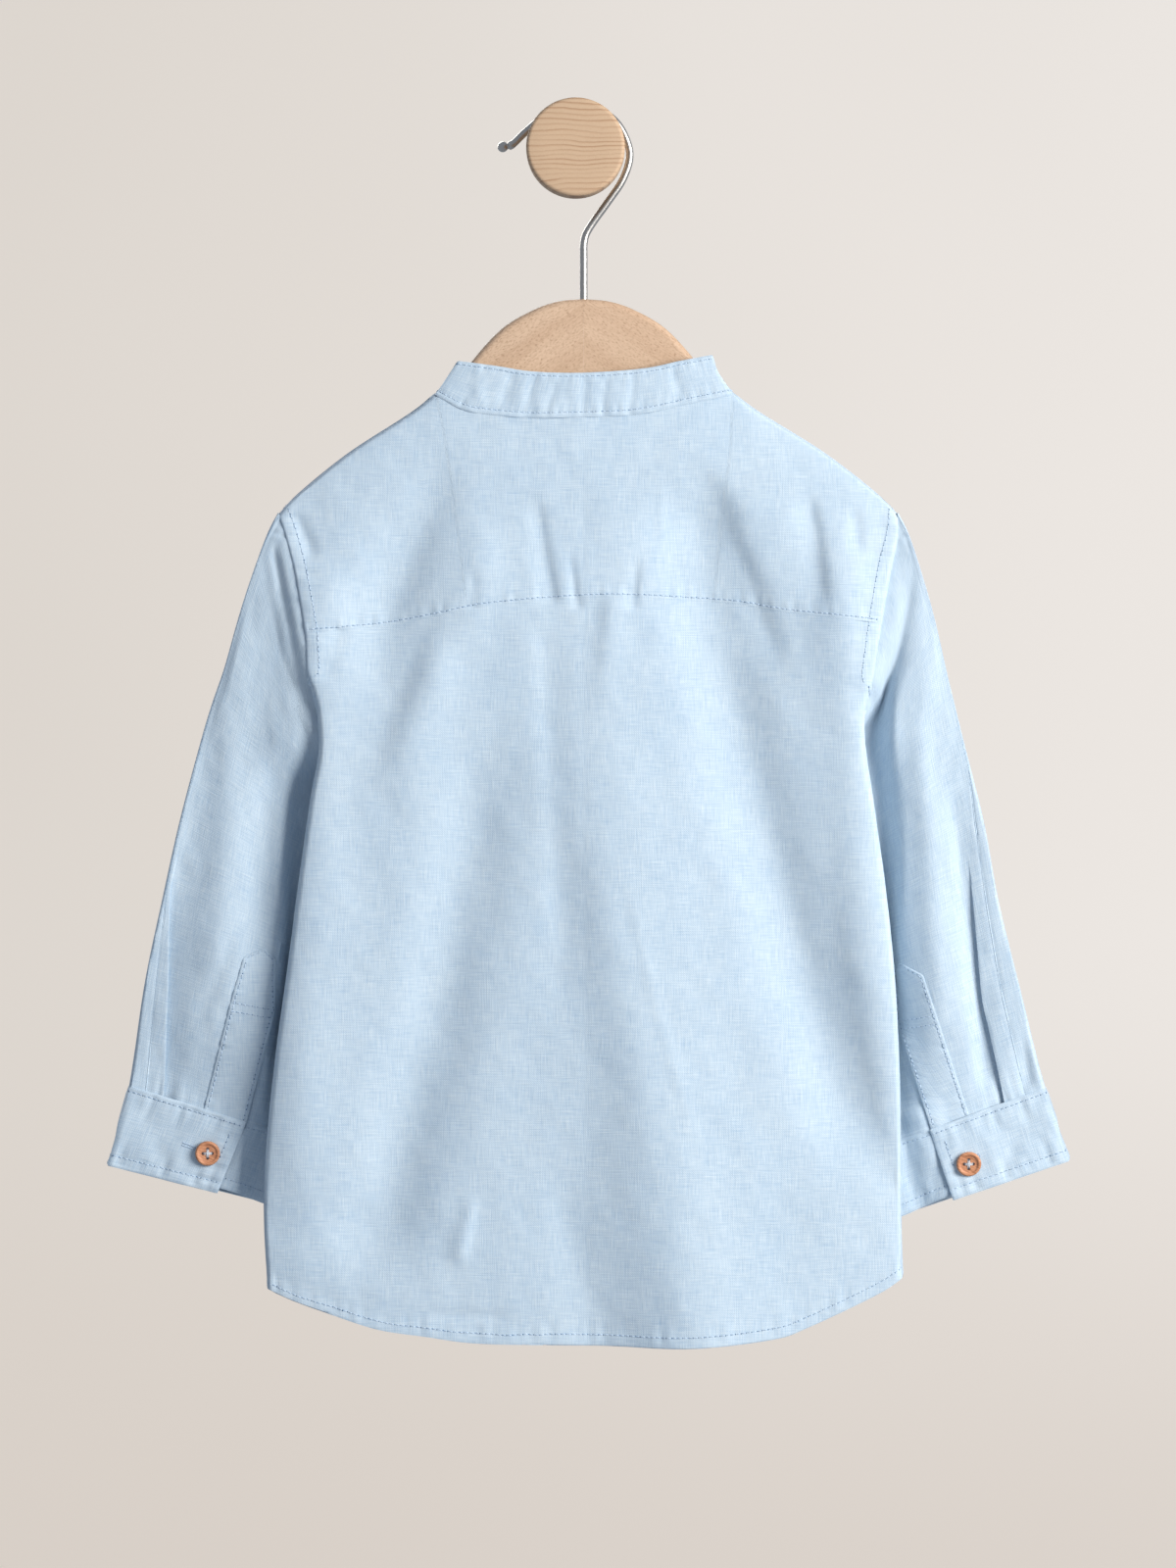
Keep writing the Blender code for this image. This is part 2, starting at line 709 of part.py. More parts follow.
def fronts():
    """Both fronts; the right one runs on under the left one's placket."""
    edge = CENTRE - PLACKET_WIDTH / 2
    corner = Spot(edge, FRONT_NECK[4].down - 1.5)
    left_neck = list(FRONT_NECK[7:4:-1]) + [corner]
    right_neck = list(FRONT_NECK[1:5]) + [corner]
    front_panel("front_left", ARMHOLE_FRONT_LEFT, "left", HEM[0], left_neck)
    front_panel("front_right", ARMHOLE_FRONT_RIGHT, "right", HEM[-1], right_neck)


def moved_out(grid, distance, facing):
    """Grid of points moved off its own surface; facing is the sign of Y on the side they move to."""
    points = np.array(grid, dtype=float)
    normals = np.cross(np.gradient(points, axis=0), np.gradient(points, axis=1))
    normals /= np.linalg.norm(normals, axis=2, keepdims=True)
    normals *= np.sign(normals[:, :, 1:2]) * facing
    return points + normals * distance


def front_placket():
    """Buttoned strip laid on the right front, from the neckline to the hem."""
    low = CENTRE - PLACKET_WIDTH / 2 + SEAM_GAP
    high = CENTRE + PLACKET_WIDTH / 2
    foot = HEM[6].down - FRONT_HEM_LIFT
    downs = np.linspace(FRONT_NECK[4].down + SEAM_GAP, foot, 22)
    grid = [[(x, down) for x in np.linspace(low, high, 4)] for down in downs]
    strip = moved_out(raised(grid, front_panel_y), CLOTH + LAY_GAP, 1.0)
    sheet_object("front_placket", [strip], CLOTH, CHAMBRAY)


def collar_loop(back, front):
    """Path of a collar line as (x, down, side), from its under end round the neck to its lapped end.

    The first point is the centre front's inner end, and side is -1 on the back, 1 by the wall.
    """
    by_wall = [(x, down, 1.0) for x, down in smooth_path(front)]
    under_to_right = [spot for spot in by_wall[::-1] if spot[0] > CENTRE - COLLAR_LAP]
    behind = [(x, down, -1.0) for x, down in smooth_path(back)[::-1]]
    left_to_over = [spot for spot in by_wall[::-1] if spot[0] < CENTRE + COLLAR_LAP]
    return np.array(under_to_right + behind[1:-1] + left_to_over)


def along_path(path, fractions):
    """Points at fractions of a path's length."""
    steps = np.hypot(*np.diff(path[:, :2], axis=0).T)
    along = np.concatenate(([0.0], np.cumsum(steps)))
    return np.array([[np.interp(f * along[-1], along, values) for values in path.T] for f in fractions])


def collar_band():
    """Standing collar, one band whose ends lap at the centre front."""
    seam = collar_loop(NECK_SEAM, FRONT_NECK)
    top = collar_loop(COLLAR_TOP, FRONT_COLLAR_TOP)
    fractions = np.linspace(0.0, 1.0, 47)
    low = along_path(seam, fractions)
    high = along_path(top, fractions)
    lap = LAP_START + LAP_EASE
    rows = []
    for rise in COLLAR_ROWS:
        row = []
        for share, foot, edge in zip(fractions, low, high):
            corner = 1.0 - ease(edge_distance(foot[0], foot[1]) / FOLD_RADIUS)
            start = (NECK_GAP + NECK_CORNER_GAP * corner) / math.hypot(*(edge[:2] - foot[:2]))
            x, down = mix(foot[:2], edge[:2], max(rise, start))
            side = 1.0 if foot[2] > 0 else -1.0
            height = front_y if side > 0 else back_y
            depth = abs(height(foot[0], foot[1]) - MIDDLE_Y) * mix(1.0, COLLAR_LEAN, rise)
            step = LAP_STEP * (ease((share - 1.0 + lap) / LAP_EASE) - ease((lap - share) / LAP_EASE))
            row.append((x, MIDDLE_Y + side * depth + step, -down))
        rows.append(row)
    sheet_object("collar_band", [rows], BAND_CLOTH, CHAMBRAY)


class Sleeve:
    """One sleeve's shape: its flat outline, and the height of its two layers."""

    def __init__(self, rows, armhole_top, armhole_low, armhole_front):
        self.rows = rows
        self.start = rows[0].outer_down
        self.end = rows[-1].outer_down
        self.back_seam = seam_line(armhole_top[::-1], armhole_low)
        self.front_seam = seam_line(armhole_front)

    def flat(self, down, c):
        """Place at fraction c of the way from the outer to the inner fold; down is on the outer fold."""
        inner = [column(self.rows, "outer_down", name, down) for name in ("inner_x", "inner_down")]
        return mix(np.array((column(self.rows, "outer_down", "outer_x", down), down)), np.array(inner), c)

    def place(self, down, c, seam):
        """Place on a layer: it leaves the armhole square to the seam and settles on the flat outline."""
        run = down - self.start
        angle = math.radians(column(HEAD_LEAVES, "c", "degrees", c))
        outward = math.copysign(math.sin(angle), self.rows[0].outer_x)
        leaving = seam(c) + np.array((outward, math.cos(angle))) * HEAD_PACE * run
        return mix(leaving, self.flat(down, c), ease(run / HEAD_REACH))

    def width(self, down):
        """Flat width of the sleeve."""
        return math.hypot(*(self.flat(down, 1.0) - self.flat(down, 0.0)))

    def pleat(self, down):
        """How far the pleat is laid, from 0 where it starts to 1 at the cuff."""
        return float(ease((down - PLEAT_START) / PLEAT_REACH))

    def outer_y(self, down):
        """Y of the outer fold."""
        return mix(MIDDLE_Y, SLEEVE_OUTER_Y, ease((down - self.start) / OUTER_SETTLE))

    def layers(self, down, c):
        """Y of the layer behind the torso, of the inner fold and of the layer by the wall."""
        settled = ease((down - self.start) / mix(SLEEVE_SETTLE, UNDERARM_SETTLE, c))
        under = mix(SLEEVE_HEAD_UNDER_Y, SLEEVE_UNDER_Y, settled)
        wall = mix(SLEEVE_HEAD_WALL_Y, SLEEVE_WALL_Y, settled)
        return under, (under + wall) / 2, wall

    def view_y(self, down, c):
        """Y of the layer that faces -Y."""
        outer = self.outer_y(down)
        under, inner, _ = self.layers(down, c)
        swell = SLEEVE_SWELL * mix(1.0, GATHER_SWELL, ease((down - GATHER_START) / GATHER_REACH))
        crest = outer - swell * rounding(c * self.width(down) / SLEEVE_EDGE_RADIUS, 1.0)
        y = mix(crest, under, ease((c - CREST_END) / CREST_FALL))
        return mix(inner, y, rounding((1.0 - c) * self.width(down), SLEEVE_INNER_RADIUS))

    def wall_y(self, down, c):
        """Y of the layer by the wall."""
        width = self.width(down)
        _, inner, wall = self.layers(down, c)
        y = mix(self.outer_y(down), wall, rounding(c * width, SLEEVE_EDGE_RADIUS))
        return mix(inner, y, rounding((1.0 - c) * width, SLEEVE_INNER_RADIUS))

    def point(self, down, c, facing):
        """Point of the sleeve; facing is -1 for the layer that faces -Y and 1 for the wall's."""
        seam, own, torso = (
            (self.back_seam, self.view_y, back_y) if facing < 0 else (self.front_seam, self.wall_y, front_y)
        )
        x, fallen = self.place(down, c, seam)
        travel = math.hypot(*(seam(c) - (x, fallen)))
        reach = mix(SLEEVE_BLEND, UNDERARM_BLEND, ease((c - 0.5) / 0.5))
        return x, mix(torso(*seam(c)), own(down, c), ease(travel / reach)), -fallen

    def view_point(self, x, fallen):
        """Point of the layer that faces -Y, below the sleeve's head, at a place as it hangs."""
        low, high = self.start, self.end
        for _ in range(40):
            middle = (low + high) / 2
            outer, inner = self.flat(middle, 0.0), self.flat(middle, 1.0)
            run, reach = inner - outer, np.array((x, fallen)) - outer
            above = (run[0] * reach[1] - run[1] * reach[0]) * np.sign(run[0]) < 0
            low, high = (low, middle) if above else (middle, high)
        return self.point(low, float(reach @ run / (run @ run)), -1)

    def above_view(self, x, fallen, distance):
        """Point moved off the layer that faces -Y, along the layer's own normal."""
        here, aside, below = (
            np.array(self.view_point(*place)) for place in ((x, fallen), (x + 1.0, fallen), (x, fallen + 1.0))
        )
        normal = np.cross(below - here, aside - here)
        return here - normal / np.linalg.norm(normal) * distance * np.sign(normal[1])

    def ring(self, down):
        """Closed ring of points round the sleeve, with the outer strip's fold laid over the rest."""
        laid = self.pleat(down)
        shares = crowded(12)
        shares[2] = mix(shares[2], PLEAT_PLACE, laid)
        shares[3] = mix(shares[3], PLEAT_PLACE, laid)
        ring = [list(self.point(down, c, -1)) for c in shares]
        ring[3][1] += PLEAT_DROP * laid
        ring[4][1] += PLEAT_INNER_DROP * laid
        ring += [self.point(down, c, 1) for c in crowded(8)[-2:0:-1]]
        return ring + ring[:1]


def sleeve_of(side):
    """The left or right sleeve's shape."""
    if side == "left":
        return Sleeve(SLEEVE_LEFT, ARMHOLE_TOP_LEFT, ARMHOLE_LOW_LEFT, ARMHOLE_FRONT_LEFT)
    return Sleeve(SLEEVE_RIGHT, ARMHOLE_TOP_RIGHT, ARMHOLE_LOW_RIGHT, ARMHOLE_FRONT_RIGHT)


def sleeves():
    """Both sleeves, from armhole to cuff seam."""
    for side in ("left", "right"):
        sleeve = sleeve_of(side)
        rings = [sleeve.ring(mix(sleeve.start, sleeve.end, share)) for share in SLEEVE_ROWS]
        sheet_object("sleeve_" + side, [rings], CLOTH, CHAMBRAY)


def cuff_ring(cuff, rise):
    """One line round a cuff, from its lapped end over the outer fold to its under end.

    A rise of 0 is the sleeve's seam, and 1 is the cuff's own edge.
    """
    outer = mix(np.array(cuff.seam_outer), np.array(cuff.hem_outer), rise)
    inner = mix(np.array(cuff.seam_inner), np.array(cuff.hem_inner), rise)
    lap = mix(cuff.seam_lap, cuff.hem_lap, rise)
    width = math.hypot(*(inner - outer))
    shares = [(c, -1) for c in np.linspace(lap, 0.0, 10)]
    shares += [(c, 1) for c in crowded(9)[1:-1]]
    shares += [(c, -1) for c in np.linspace(1.0, lap - CUFF_LAP, 10)]
    ring = []
    for count, (c, facing) in enumerate(shares):
        layer = CUFF_WALL_Y
        if facing < 0:
            layer = mix(CUFF_VIEW_Y, SLEEVE_UNDER_Y, ease((c - lap - CUFF_FALL_START) / CUFF_FALL))
        near = rounding(min(c, 1.0 - c) * width, SLEEVE_EDGE_RADIUS)
        y = mix(CUFF_FOLD_Y, layer, near)
        if facing < 0:
            lapped = ease((c - lap + CUFF_LAP + CUFF_LAP_EASE) / CUFF_LAP_EASE)
            lapped *= ease((lap + CUFF_LAP_EASE - c) / CUFF_LAP_EASE)
            y += CUFF_LAP_STEP * lapped * (-1.0 if count < 10 else 1.0)
        x, down = mix(outer, inner, c)
        ring.append((x, y, -down))
    return ring


def cuffs():
    """Both cuffs, buttoned bands at the sleeves' ends."""
    for side, cuff in (("left", CUFF_LEFT), ("right", CUFF_RIGHT)):
        rings = [cuff_ring(cuff, rise) for rise in (SEAM_GAP / CUFF_HEIGHT, 0.5, 1.0)]
        sheet_object("cuff_" + side, [rings], BAND_CLOTH, CHAMBRAY)


def sleeve_placket(side, sleeve, corners):
    """Pointed strip over the sleeve's slit, laid on the sleeve."""
    tip, outer, inner, outer_base, inner_base = (np.array(c) for c in corners)
    rows = [(mix(tip, outer, PLACKET_TIP_WIDTH), tip, mix(tip, inner, PLACKET_TIP_WIDTH))]
    for share in np.linspace(0.0, PLACKET_FOOT, 7):
        ends = mix(outer, outer_base, share), mix(inner, inner_base, share)
        rows.append((ends[0], mix(ends[0], ends[1], 0.5), ends[1]))
    strip = [[sleeve.above_view(x, down, CLOTH + SLEEVE_LAY_GAP) for x, down in row] for row in rows]
    sheet_object("sleeve_placket_" + side, [strip], CLOTH, CHAMBRAY)


def turned(name, profile, finish, steps, home=COLLECTION):
    """Object turned about its own Z from a profile of (radius, height), top to bottom."""
    mesh = bpy.data.meshes.new(name)
    edges = [(i, i + 1) for i in range(len(profile) - 1)]
    mesh.from_pydata([(radius * MM, 0.0, height * MM) for radius, height in profile], edges, [])
    piece = new_object(name, mesh, finish, home)
    screw = piece.modifiers.new("turned", "SCREW")
    screw.steps = screw.render_steps = steps
    screw.use_merge_vertices = True
    screw.merge_threshold = 0.01 * MM
    screw.use_smooth_shade = True
    return piece


def cut(piece, cutter, operation="DIFFERENCE"):
    """Boolean with a hidden cutter."""
    cutter.hide_render = True
    cutter.display_type = "WIRE"
    change = piece.modifiers.new(cutter.name, "BOOLEAN")
    change.operation = operation
    change.object = cutter


def cylinder_cutter(name, radius, length, places):
    """Hidden cylinders along their own Z at several (x, y, z) places, as one cutter."""
    mesh = bpy.data.meshes.new(name)
    drill = bmesh.new()
    for place in places:
        made = bmesh.ops.create_cone(
            drill, cap_ends=True, segments=8, radius1=radius * MM, radius2=radius * MM, depth=length * MM
        )
        bmesh.ops.translate(drill, verts=made["verts"], vec=[c * MM for c in place])
    drill.to_mesh(mesh)
    drill.free()
    return new_object(name, mesh, STEEL, CUTTERS)


def button(name, x, down, seat_y, facing):
    """Four-hole button with its back at seat_y; facing is -1 towards -Y and 1 towards the wall."""
    rim = BUTTON_RADIUS
    profile = (
        (0.0, BUTTON_DISH),
        (rim * 0.58, BUTTON_DISH),
        (rim * 0.74, BUTTON_RIM),
        (rim * 0.92, BUTTON_RIM),
        (rim, BUTTON_RIM * 0.6),
        (rim * 0.9, 0.0),
        (0.0, 0.0),
    )
    piece = turned(name, profile, TAN, 16)
    piece.location = (x * MM, seat_y * MM, -down * MM)
    piece.rotation_euler = (-facing * math.pi / 2, math.pi / 4, 0.0)
    spread = BUTTON_HOLE_SPREAD
    places = [(sx * spread, sy * spread, 0.0) for sx in (-1, 1) for sy in (-1, 1)]
    holes = cylinder_cutter(name + "_holes", BUTTON_HOLE, 4 * BUTTON_RIM, places)
    holes.parent = piece
    cut(piece, holes)


def buttons():
    """Buttons of both cuffs, the collar and the front."""
    for side, cuff in (("left", CUFF_LEFT), ("right", CUFF_RIGHT)):
        seat = CUFF_VIEW_Y - CUFF_LAP_STEP - BAND_CLOTH / 2 - LAY_GAP
        button("button_cuff_" + side, cuff.button.x, cuff.button.down, seat, -1)
    middle = (FRONT_NECK[4].down + FRONT_COLLAR_TOP[4].down) / 2
    depth = (front_y(CENTRE, FRONT_NECK[4].down) - MIDDLE_Y) * mix(1.0, COLLAR_LEAN, 0.5)
    button("button_collar", CENTRE, middle, MIDDLE_Y + depth + LAP_STEP + BAND_CLOTH / 2 + LAY_GAP, 1)
    for count in range(FRONT_BUTTONS):
        down = FIRST_FRONT_BUTTON + FRONT_BUTTON_PITCH * count
        seat = front_y(CENTRE, down) + CLOTH * 1.5 + 2.5 * LAY_GAP
        button(f"button_front_{count + 1}", CENTRE, down, seat, 1)


def mesh_from(curve_object, name, finish, home):
    """The curve's solid as a mesh object, with its caps welded; the curve is removed."""
    bpy.context.view_layer.update()
    seen = curve_object.evaluated_get(bpy.context.evaluated_depsgraph_get())
    mesh = bpy.data.meshes.new_from_object(seen)
    mesh.name = name
    mesh.materials.clear()
    weld = bmesh.new()
    weld.from_mesh(mesh)
    bmesh.ops.remove_doubles(weld, verts=weld.verts, dist=0.01 * MM)
    weld.to_mesh(mesh)
    weld.free()
    piece = new_object(name, mesh, finish, home)
    piece.matrix_world = curve_object.matrix_world
    bpy.data.objects.remove(curve_object)
    return piece


def poly_curve(name, points, closed, flat):
    """Object of one POLY spline; a flat one is a filled outline in its own XY plane."""
    data = bpy.data.curves.new(name, "CURVE")
    data.dimensions = "2D" if flat else "3D"
    data.use_fill_caps = not flat
    if flat:
        data.fill_mode = "BOTH"
    spline = data.splines.new("POLY")
    spline.points.add(len(points) - 1)
    for place, point in zip(spline.points, points):
        place.co = (*[c * MM for c in point], 1.0)
    spline.use_cyclic_u = closed
    made = bpy.data.objects.new(name, data)
    bpy.data.collections[CUTTERS].objects.link(made)
    return made


def hanger():
    """Child's wooden hanger: two bent halves that meet at the middle, bored for the hook."""
    half = smooth_path(HANGER_OUTLINE, steps=2)
    other = half[-2:0:-1] * (-1.0, 1.0)
    outline = [(x, -down, 0.0) for x, down in np.vstack((half, other))]
    bore = cylinder_cutter("hook_bore", WIRE_RADIUS + BORE_CLEARANCE, 2 * HANGER_BORE_DEPTH, [(0.0, 0.0, 0.0)])
    bore.location = (HANGER_CENTRE * MM, MIDDLE_Y * MM, -HANGER_TOP * MM)
    for side, sign in (("left", 1.0), ("right", -1.0)):
        curve = poly_curve("hanger_outline", outline, True, True)
        curve.data.extrude = (HANGER_THICKNESS / 2 - HANGER_ROUND) * MM
        curve.data.bevel_depth = HANGER_ROUND * MM
        curve.data.bevel_resolution = 1
        curve.data.offset = -HANGER_ROUND * MM
        curve.location = (HANGER_CENTRE * MM, MIDDLE_Y * MM, 0.0)
        curve.rotation_euler = (math.pi / 2, 0.0, 0.0)
        wood = mesh_from(curve, "hanger_" + side, BEECH, COLLECTION)
        slab = bpy.data.meshes.new("joint_cutter")
        saw = bmesh.new()
        bmesh.ops.create_cube(saw, size=HANGER_SAW * MM)
        saw.to_mesh(slab)
        saw.free()
        joint = new_object("joint_" + side, slab, STEEL, CUTTERS)
        aside = HANGER_CENTRE + sign * (HANGER_SAW - SEAM_GAP) / 2
        joint.location = (aside * MM, MIDDLE_Y * MM, -HANGER_SAW * MM / 2)
        cut(wood, joint)
        cut(wood, bore)


def hanger_hook():
    """Steel wire hook with a ball tip, over the peg's neck and down into the hanger."""
    route = [(x, MIDDLE_Y, -down) for x, down in smooth_path(HOOK_ROUTE, steps=3)]
    curve = poly_curve("hook_route", route, False, False)
    curve.data.bevel_depth = WIRE_RADIUS * MM
    curve.data.bevel_resolution = 2
    wire = mesh_from(curve, "hanger_hook", STEEL, COLLECTION)
    mesh = bpy.data.meshes.new("hook_ball")
    ball = bmesh.new()
    bmesh.ops.create_uvsphere(ball, u_segments=12, v_segments=8, radius=WIRE_BALL * MM)
    ball.to_mesh(mesh)
    ball.free()
    tip = new_object("hook_ball", mesh, STEEL, CUTTERS)
    tip.location = [c * MM for c in route[0]]
    cut(wire, tip, "UNION")


def wall_peg():
    """Round turned knob: a neck on the wall and a disc that keeps the hook on it."""
    front = PEG_NECK_LENGTH + PEG_DISC_THICKNESS
    rim, soft = PEG_DISC_RADIUS, PEG_ROUND
    corner = soft * (1.0 - math.cos(math.pi / 4))
    profile = (
        (0.0, front),
        (rim - soft, front),
        (rim - corner, front - corner),
        (rim, front - soft),
        (rim, PEG_NECK_LENGTH + soft),
        (rim - corner, PEG_NECK_LENGTH + corner),
        (rim - soft, PEG_NECK_LENGTH),
        (PEG_NECK_RADIUS, PEG_NECK_LENGTH),
        (PEG_NECK_RADIUS, 0.0),
        (0.0, 0.0),
    )
    peg = turned("wall_peg", profile, BEECH, 40)
    peg.rotation_euler = (math.pi / 2, 0.0, 0.0)


def main():
    """Build the whole part in an empty scene."""
    for old in list(bpy.data.objects):
        bpy.data.objects.remove(old)
    make_collection(COLLECTION)
    make_collection(CUTTERS)
    back_panel()
    back_yoke()
    fronts()
    front_placket()
    collar_band()
    sleeves()
    cuffs()
    sleeve_placket("left", sleeve_of("left"), SLEEVE_PLACKET_LEFT)
    sleeve_placket("right", sleeve_of("right"), SLEEVE_PLACKET_RIGHT)
    buttons()
    hanger()
    hanger_hook()
    wall_peg()


main()
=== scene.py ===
"""Looks of a toddler's mandarin collar shirt on a child's hanger and a wall peg.

The shirt's back faces -Y, and the wall is the plane Y = 0. Sizes are millimetres. A
place on the garment is x, to the right, and down, the distance below the peg's centre.
"""

import logging
import math
from collections.abc import Sequence
from dataclasses import dataclass, field
from enum import Enum
from functools import cache
from itertools import starmap
from typing import NamedTuple

import bmesh
import bpy
import numpy as np
from bpy.types import Material, Mesh, Node, NodeSocket, Object
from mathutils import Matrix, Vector
from mathutils.bvhtree import BVHTree


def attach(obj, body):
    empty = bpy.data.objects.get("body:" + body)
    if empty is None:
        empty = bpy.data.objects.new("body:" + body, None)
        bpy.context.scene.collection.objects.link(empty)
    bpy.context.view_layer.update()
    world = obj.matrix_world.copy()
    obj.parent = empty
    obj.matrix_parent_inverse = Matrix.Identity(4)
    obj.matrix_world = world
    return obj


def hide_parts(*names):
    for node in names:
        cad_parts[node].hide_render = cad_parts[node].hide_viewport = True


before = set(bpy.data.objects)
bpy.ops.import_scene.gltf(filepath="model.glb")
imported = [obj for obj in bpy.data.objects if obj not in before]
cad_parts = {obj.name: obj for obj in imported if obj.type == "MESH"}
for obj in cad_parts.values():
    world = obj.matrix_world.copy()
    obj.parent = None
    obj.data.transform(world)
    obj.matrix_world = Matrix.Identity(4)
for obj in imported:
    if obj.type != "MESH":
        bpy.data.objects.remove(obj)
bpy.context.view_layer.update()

LOG = logging.getLogger("shirt")
Array = np.ndarray
Pair = tuple[float, float]
Triple = tuple[float, float, float]
Colour = Triple
MM = 0.001
# The plane between the shirt's back and front, and the x of its line of buttons.
MIDDLE_Y = -22.0
CENTRE = 4.0
BODY = "root"
WEAVE_MAP = "weave"
# First spacing of points at a crowded edge, and how fast the spacings grow away from it.
FINE, GROWTH = 0.45, 1.17
# An armhole's stitch row: its distance from the edge, where it ends, and how the turned-in cloth fades there.
ARMHOLE_ROW, ARMHOLE_END = 5.5, 258.0
ARMHOLE_FADE = (246.0, 16.0)
# A yoke seam's stitch row, from the seam.
YOKE_ROW = 1.6


class Facing(Enum):
    """The side of the garment that a surface faces."""

    VIEW = -1.0
    WALL = 1.0


class Side(Enum):
    """The garment's side as seen from the back; the value is the sign of x going outwards."""

    LEFT = -1.0
    RIGHT = 1.0

    @property
    def word(self) -> str:
        """The side's name in nodes."""
        return self.name.lower()


class Spot(NamedTuple):
    """A place on the garment."""

    x: float
    down: float


class Edge(NamedTuple):
    """The torso's outline at one level."""

    down: float
    left: float
    right: float


class SleeveRow(NamedTuple):
    """A sleeve's outer and inner fold where its outer fold has come so far down."""

    outer_down: float
    outer_x: float
    inner_x: float
    inner_down: float


def spots(*places: Pair) -> tuple[Spot, ...]:
    """Spots from pairs of x and down."""
    return tuple(starmap(Spot, places))


# --- plain geometry


def ease(value: Array) -> Array:
    """Smooth step from 0 to 1."""
    value = np.clip(value, 0.0, 1.0)
    return value * value * (3.0 - 2.0 * value)


def rounding(distance: Array, radius: float) -> Array:
    """Quarter circle from 0 at a fold to 1 at the radius away from it."""
    inward = 1.0 - np.clip(distance / radius, 0.0, 1.0)
    return np.sqrt(1.0 - inward * inward)


def mix(first: Array, second: Array, amount: Array) -> Array:
    """Blend of two values or points."""
    return first + (second - first) * amount


def bell(distance: Array, width: float) -> Array:
    """Soft hump, 1 at no distance and fading over the width."""
    return np.exp(-((distance / width) ** 2))


def travelled(steps: Array, axis: int = 0) -> Array:
    """Distance covered up to each point, from the steps between the points."""
    start = np.zeros_like(np.take(steps, [0], axis))
    return np.concatenate((start, np.cumsum(steps, axis=axis)), axis=axis)


def circle(steps: int, first: Sequence[float], second: Sequence[float]) -> Array:
    """Points of a unit circle between two directions."""
    turns = np.arange(steps) * 2.0 * math.pi / steps
    return np.cos(turns)[:, None] * first + np.sin(turns)[:, None] * second


def bands(rings: int, sides: int, capped: bool = False) -> list[list[int]]:
    """Faces of a tube over rings of points, numbered ring by ring.

    Args:
        rings: How many rings there are.
        sides: How many points each has.
        capped: Whether the tube's ends are closed.

    Returns:
        The point numbers of each face.
    """
    faces = []
    for start in range(0, (rings - 1) * sides, sides):
        for side in range(sides):
            a, b = start + side, start + (side + 1) % sides
            faces.append([a, b, b + sides, a + sides])
    if capped:
        faces += [list(range(sides))[::-1], list(range((rings - 1) * sides, rings * sides))]
    return faces


def smooth_path(places: Sequence[Sequence[float]], steps: int = 8) -> Array:
    """Curve through places.

    Args:
        places: The places it passes, of any dimension.
        steps: Points to each stretch.

    Returns:
        The curve's points, one row each.
    """
    points = np.array(places, dtype=float)
    padded = np.vstack((2 * points[0] - points[1], points, 2 * points[-1] - points[-2]))
    found = []
    for first, start, end, last in zip(padded, padded[1:], padded[2:], padded[3:]):
        t = (np.arange(steps) / steps)[:, None]
        pull = (end - first) * t + (2 * first - 5 * start + 4 * end - last) * t**2
        found.append(start + 0.5 * (pull + (3 * start - first - 3 * end + last) * t**3))
    return np.vstack([*found, points[-1:]])


def graded(length: float, pitch: float, start: bool = True, end: bool = True) -> Array:
    """Fractions along a length that crowd towards its ends.

    Args:
        length: The length in millimetres.
        pitch: The spacing in the middle.
        start: Whether they crowd at 0.
        end: Whether they crowd at 1.

    Returns:
        Rising fractions from 0 to 1.
    """
    steps = []
    step = FINE
    while step < pitch:
        steps.append(step)
        step *= GROWTH
    left = length - sum(steps) * (start + end)
    count = max(int(round(left / pitch)), 2)
    places = travelled(np.array(steps * start + [left / count] * count + steps[::-1] * end))
    return places / places[-1]


@dataclass
class Line:
    """A line on the garment: points whose first two numbers are their place."""

    points: Array

    def __post_init__(self) -> None:
        """Measure the distance along it."""
        self.along = travelled(np.hypot(*np.diff(self.points[:, :2], axis=0).T))

    @classmethod
    def through(cls, *stretches: Sequence[Sequence[float]]) -> "Line":
        """Smooth line in stretches that meet at corners."""
        return cls(np.vstack([smooth_path(stretch) for stretch in stretches]))

    @property
    def length(self) -> float:
        """The whole length."""
        return float(self.along[-1])

    def at(self, share: Array) -> Array:
        """Points at fractions of the length."""
        place = np.asarray(share, dtype=float) * self.length
        return np.stack([np.interp(place, self.along, values) for values in self.points.T], axis=-1)

    def down_at(self, x: Array) -> Array:
        """How far down the line is at an x, on a line that runs across."""
        order = np.argsort(self.points[:, 0])
        return np.interp(x, self.points[order, 0], self.points[order, 1])


def coons(top: Line, bottom: Line, left: Line, right: Line, across: Array, downward: Array) -> Array:
    """Places of a panel between four seam lines.

    Args:
        top, bottom: The lines across, from left to right.
        left, right: The lines down.
        across: Fractions along the lines across.
        downward: Fractions along the lines down.

    Returns:
        Places, one row for each fraction downward.
    """
    u, v = across[None, :, None], downward[:, None, None]
    edges = mix(top.at(across)[None], bottom.at(across)[None], v)
    edges = edges + mix(left.at(downward)[:, None], right.at(downward)[:, None], u)
    corners = mix(mix(top.at(0.0), top.at(1.0), u), mix(bottom.at(0.0), bottom.at(1.0), u), v)
    return edges - corners


# --- creases and waves


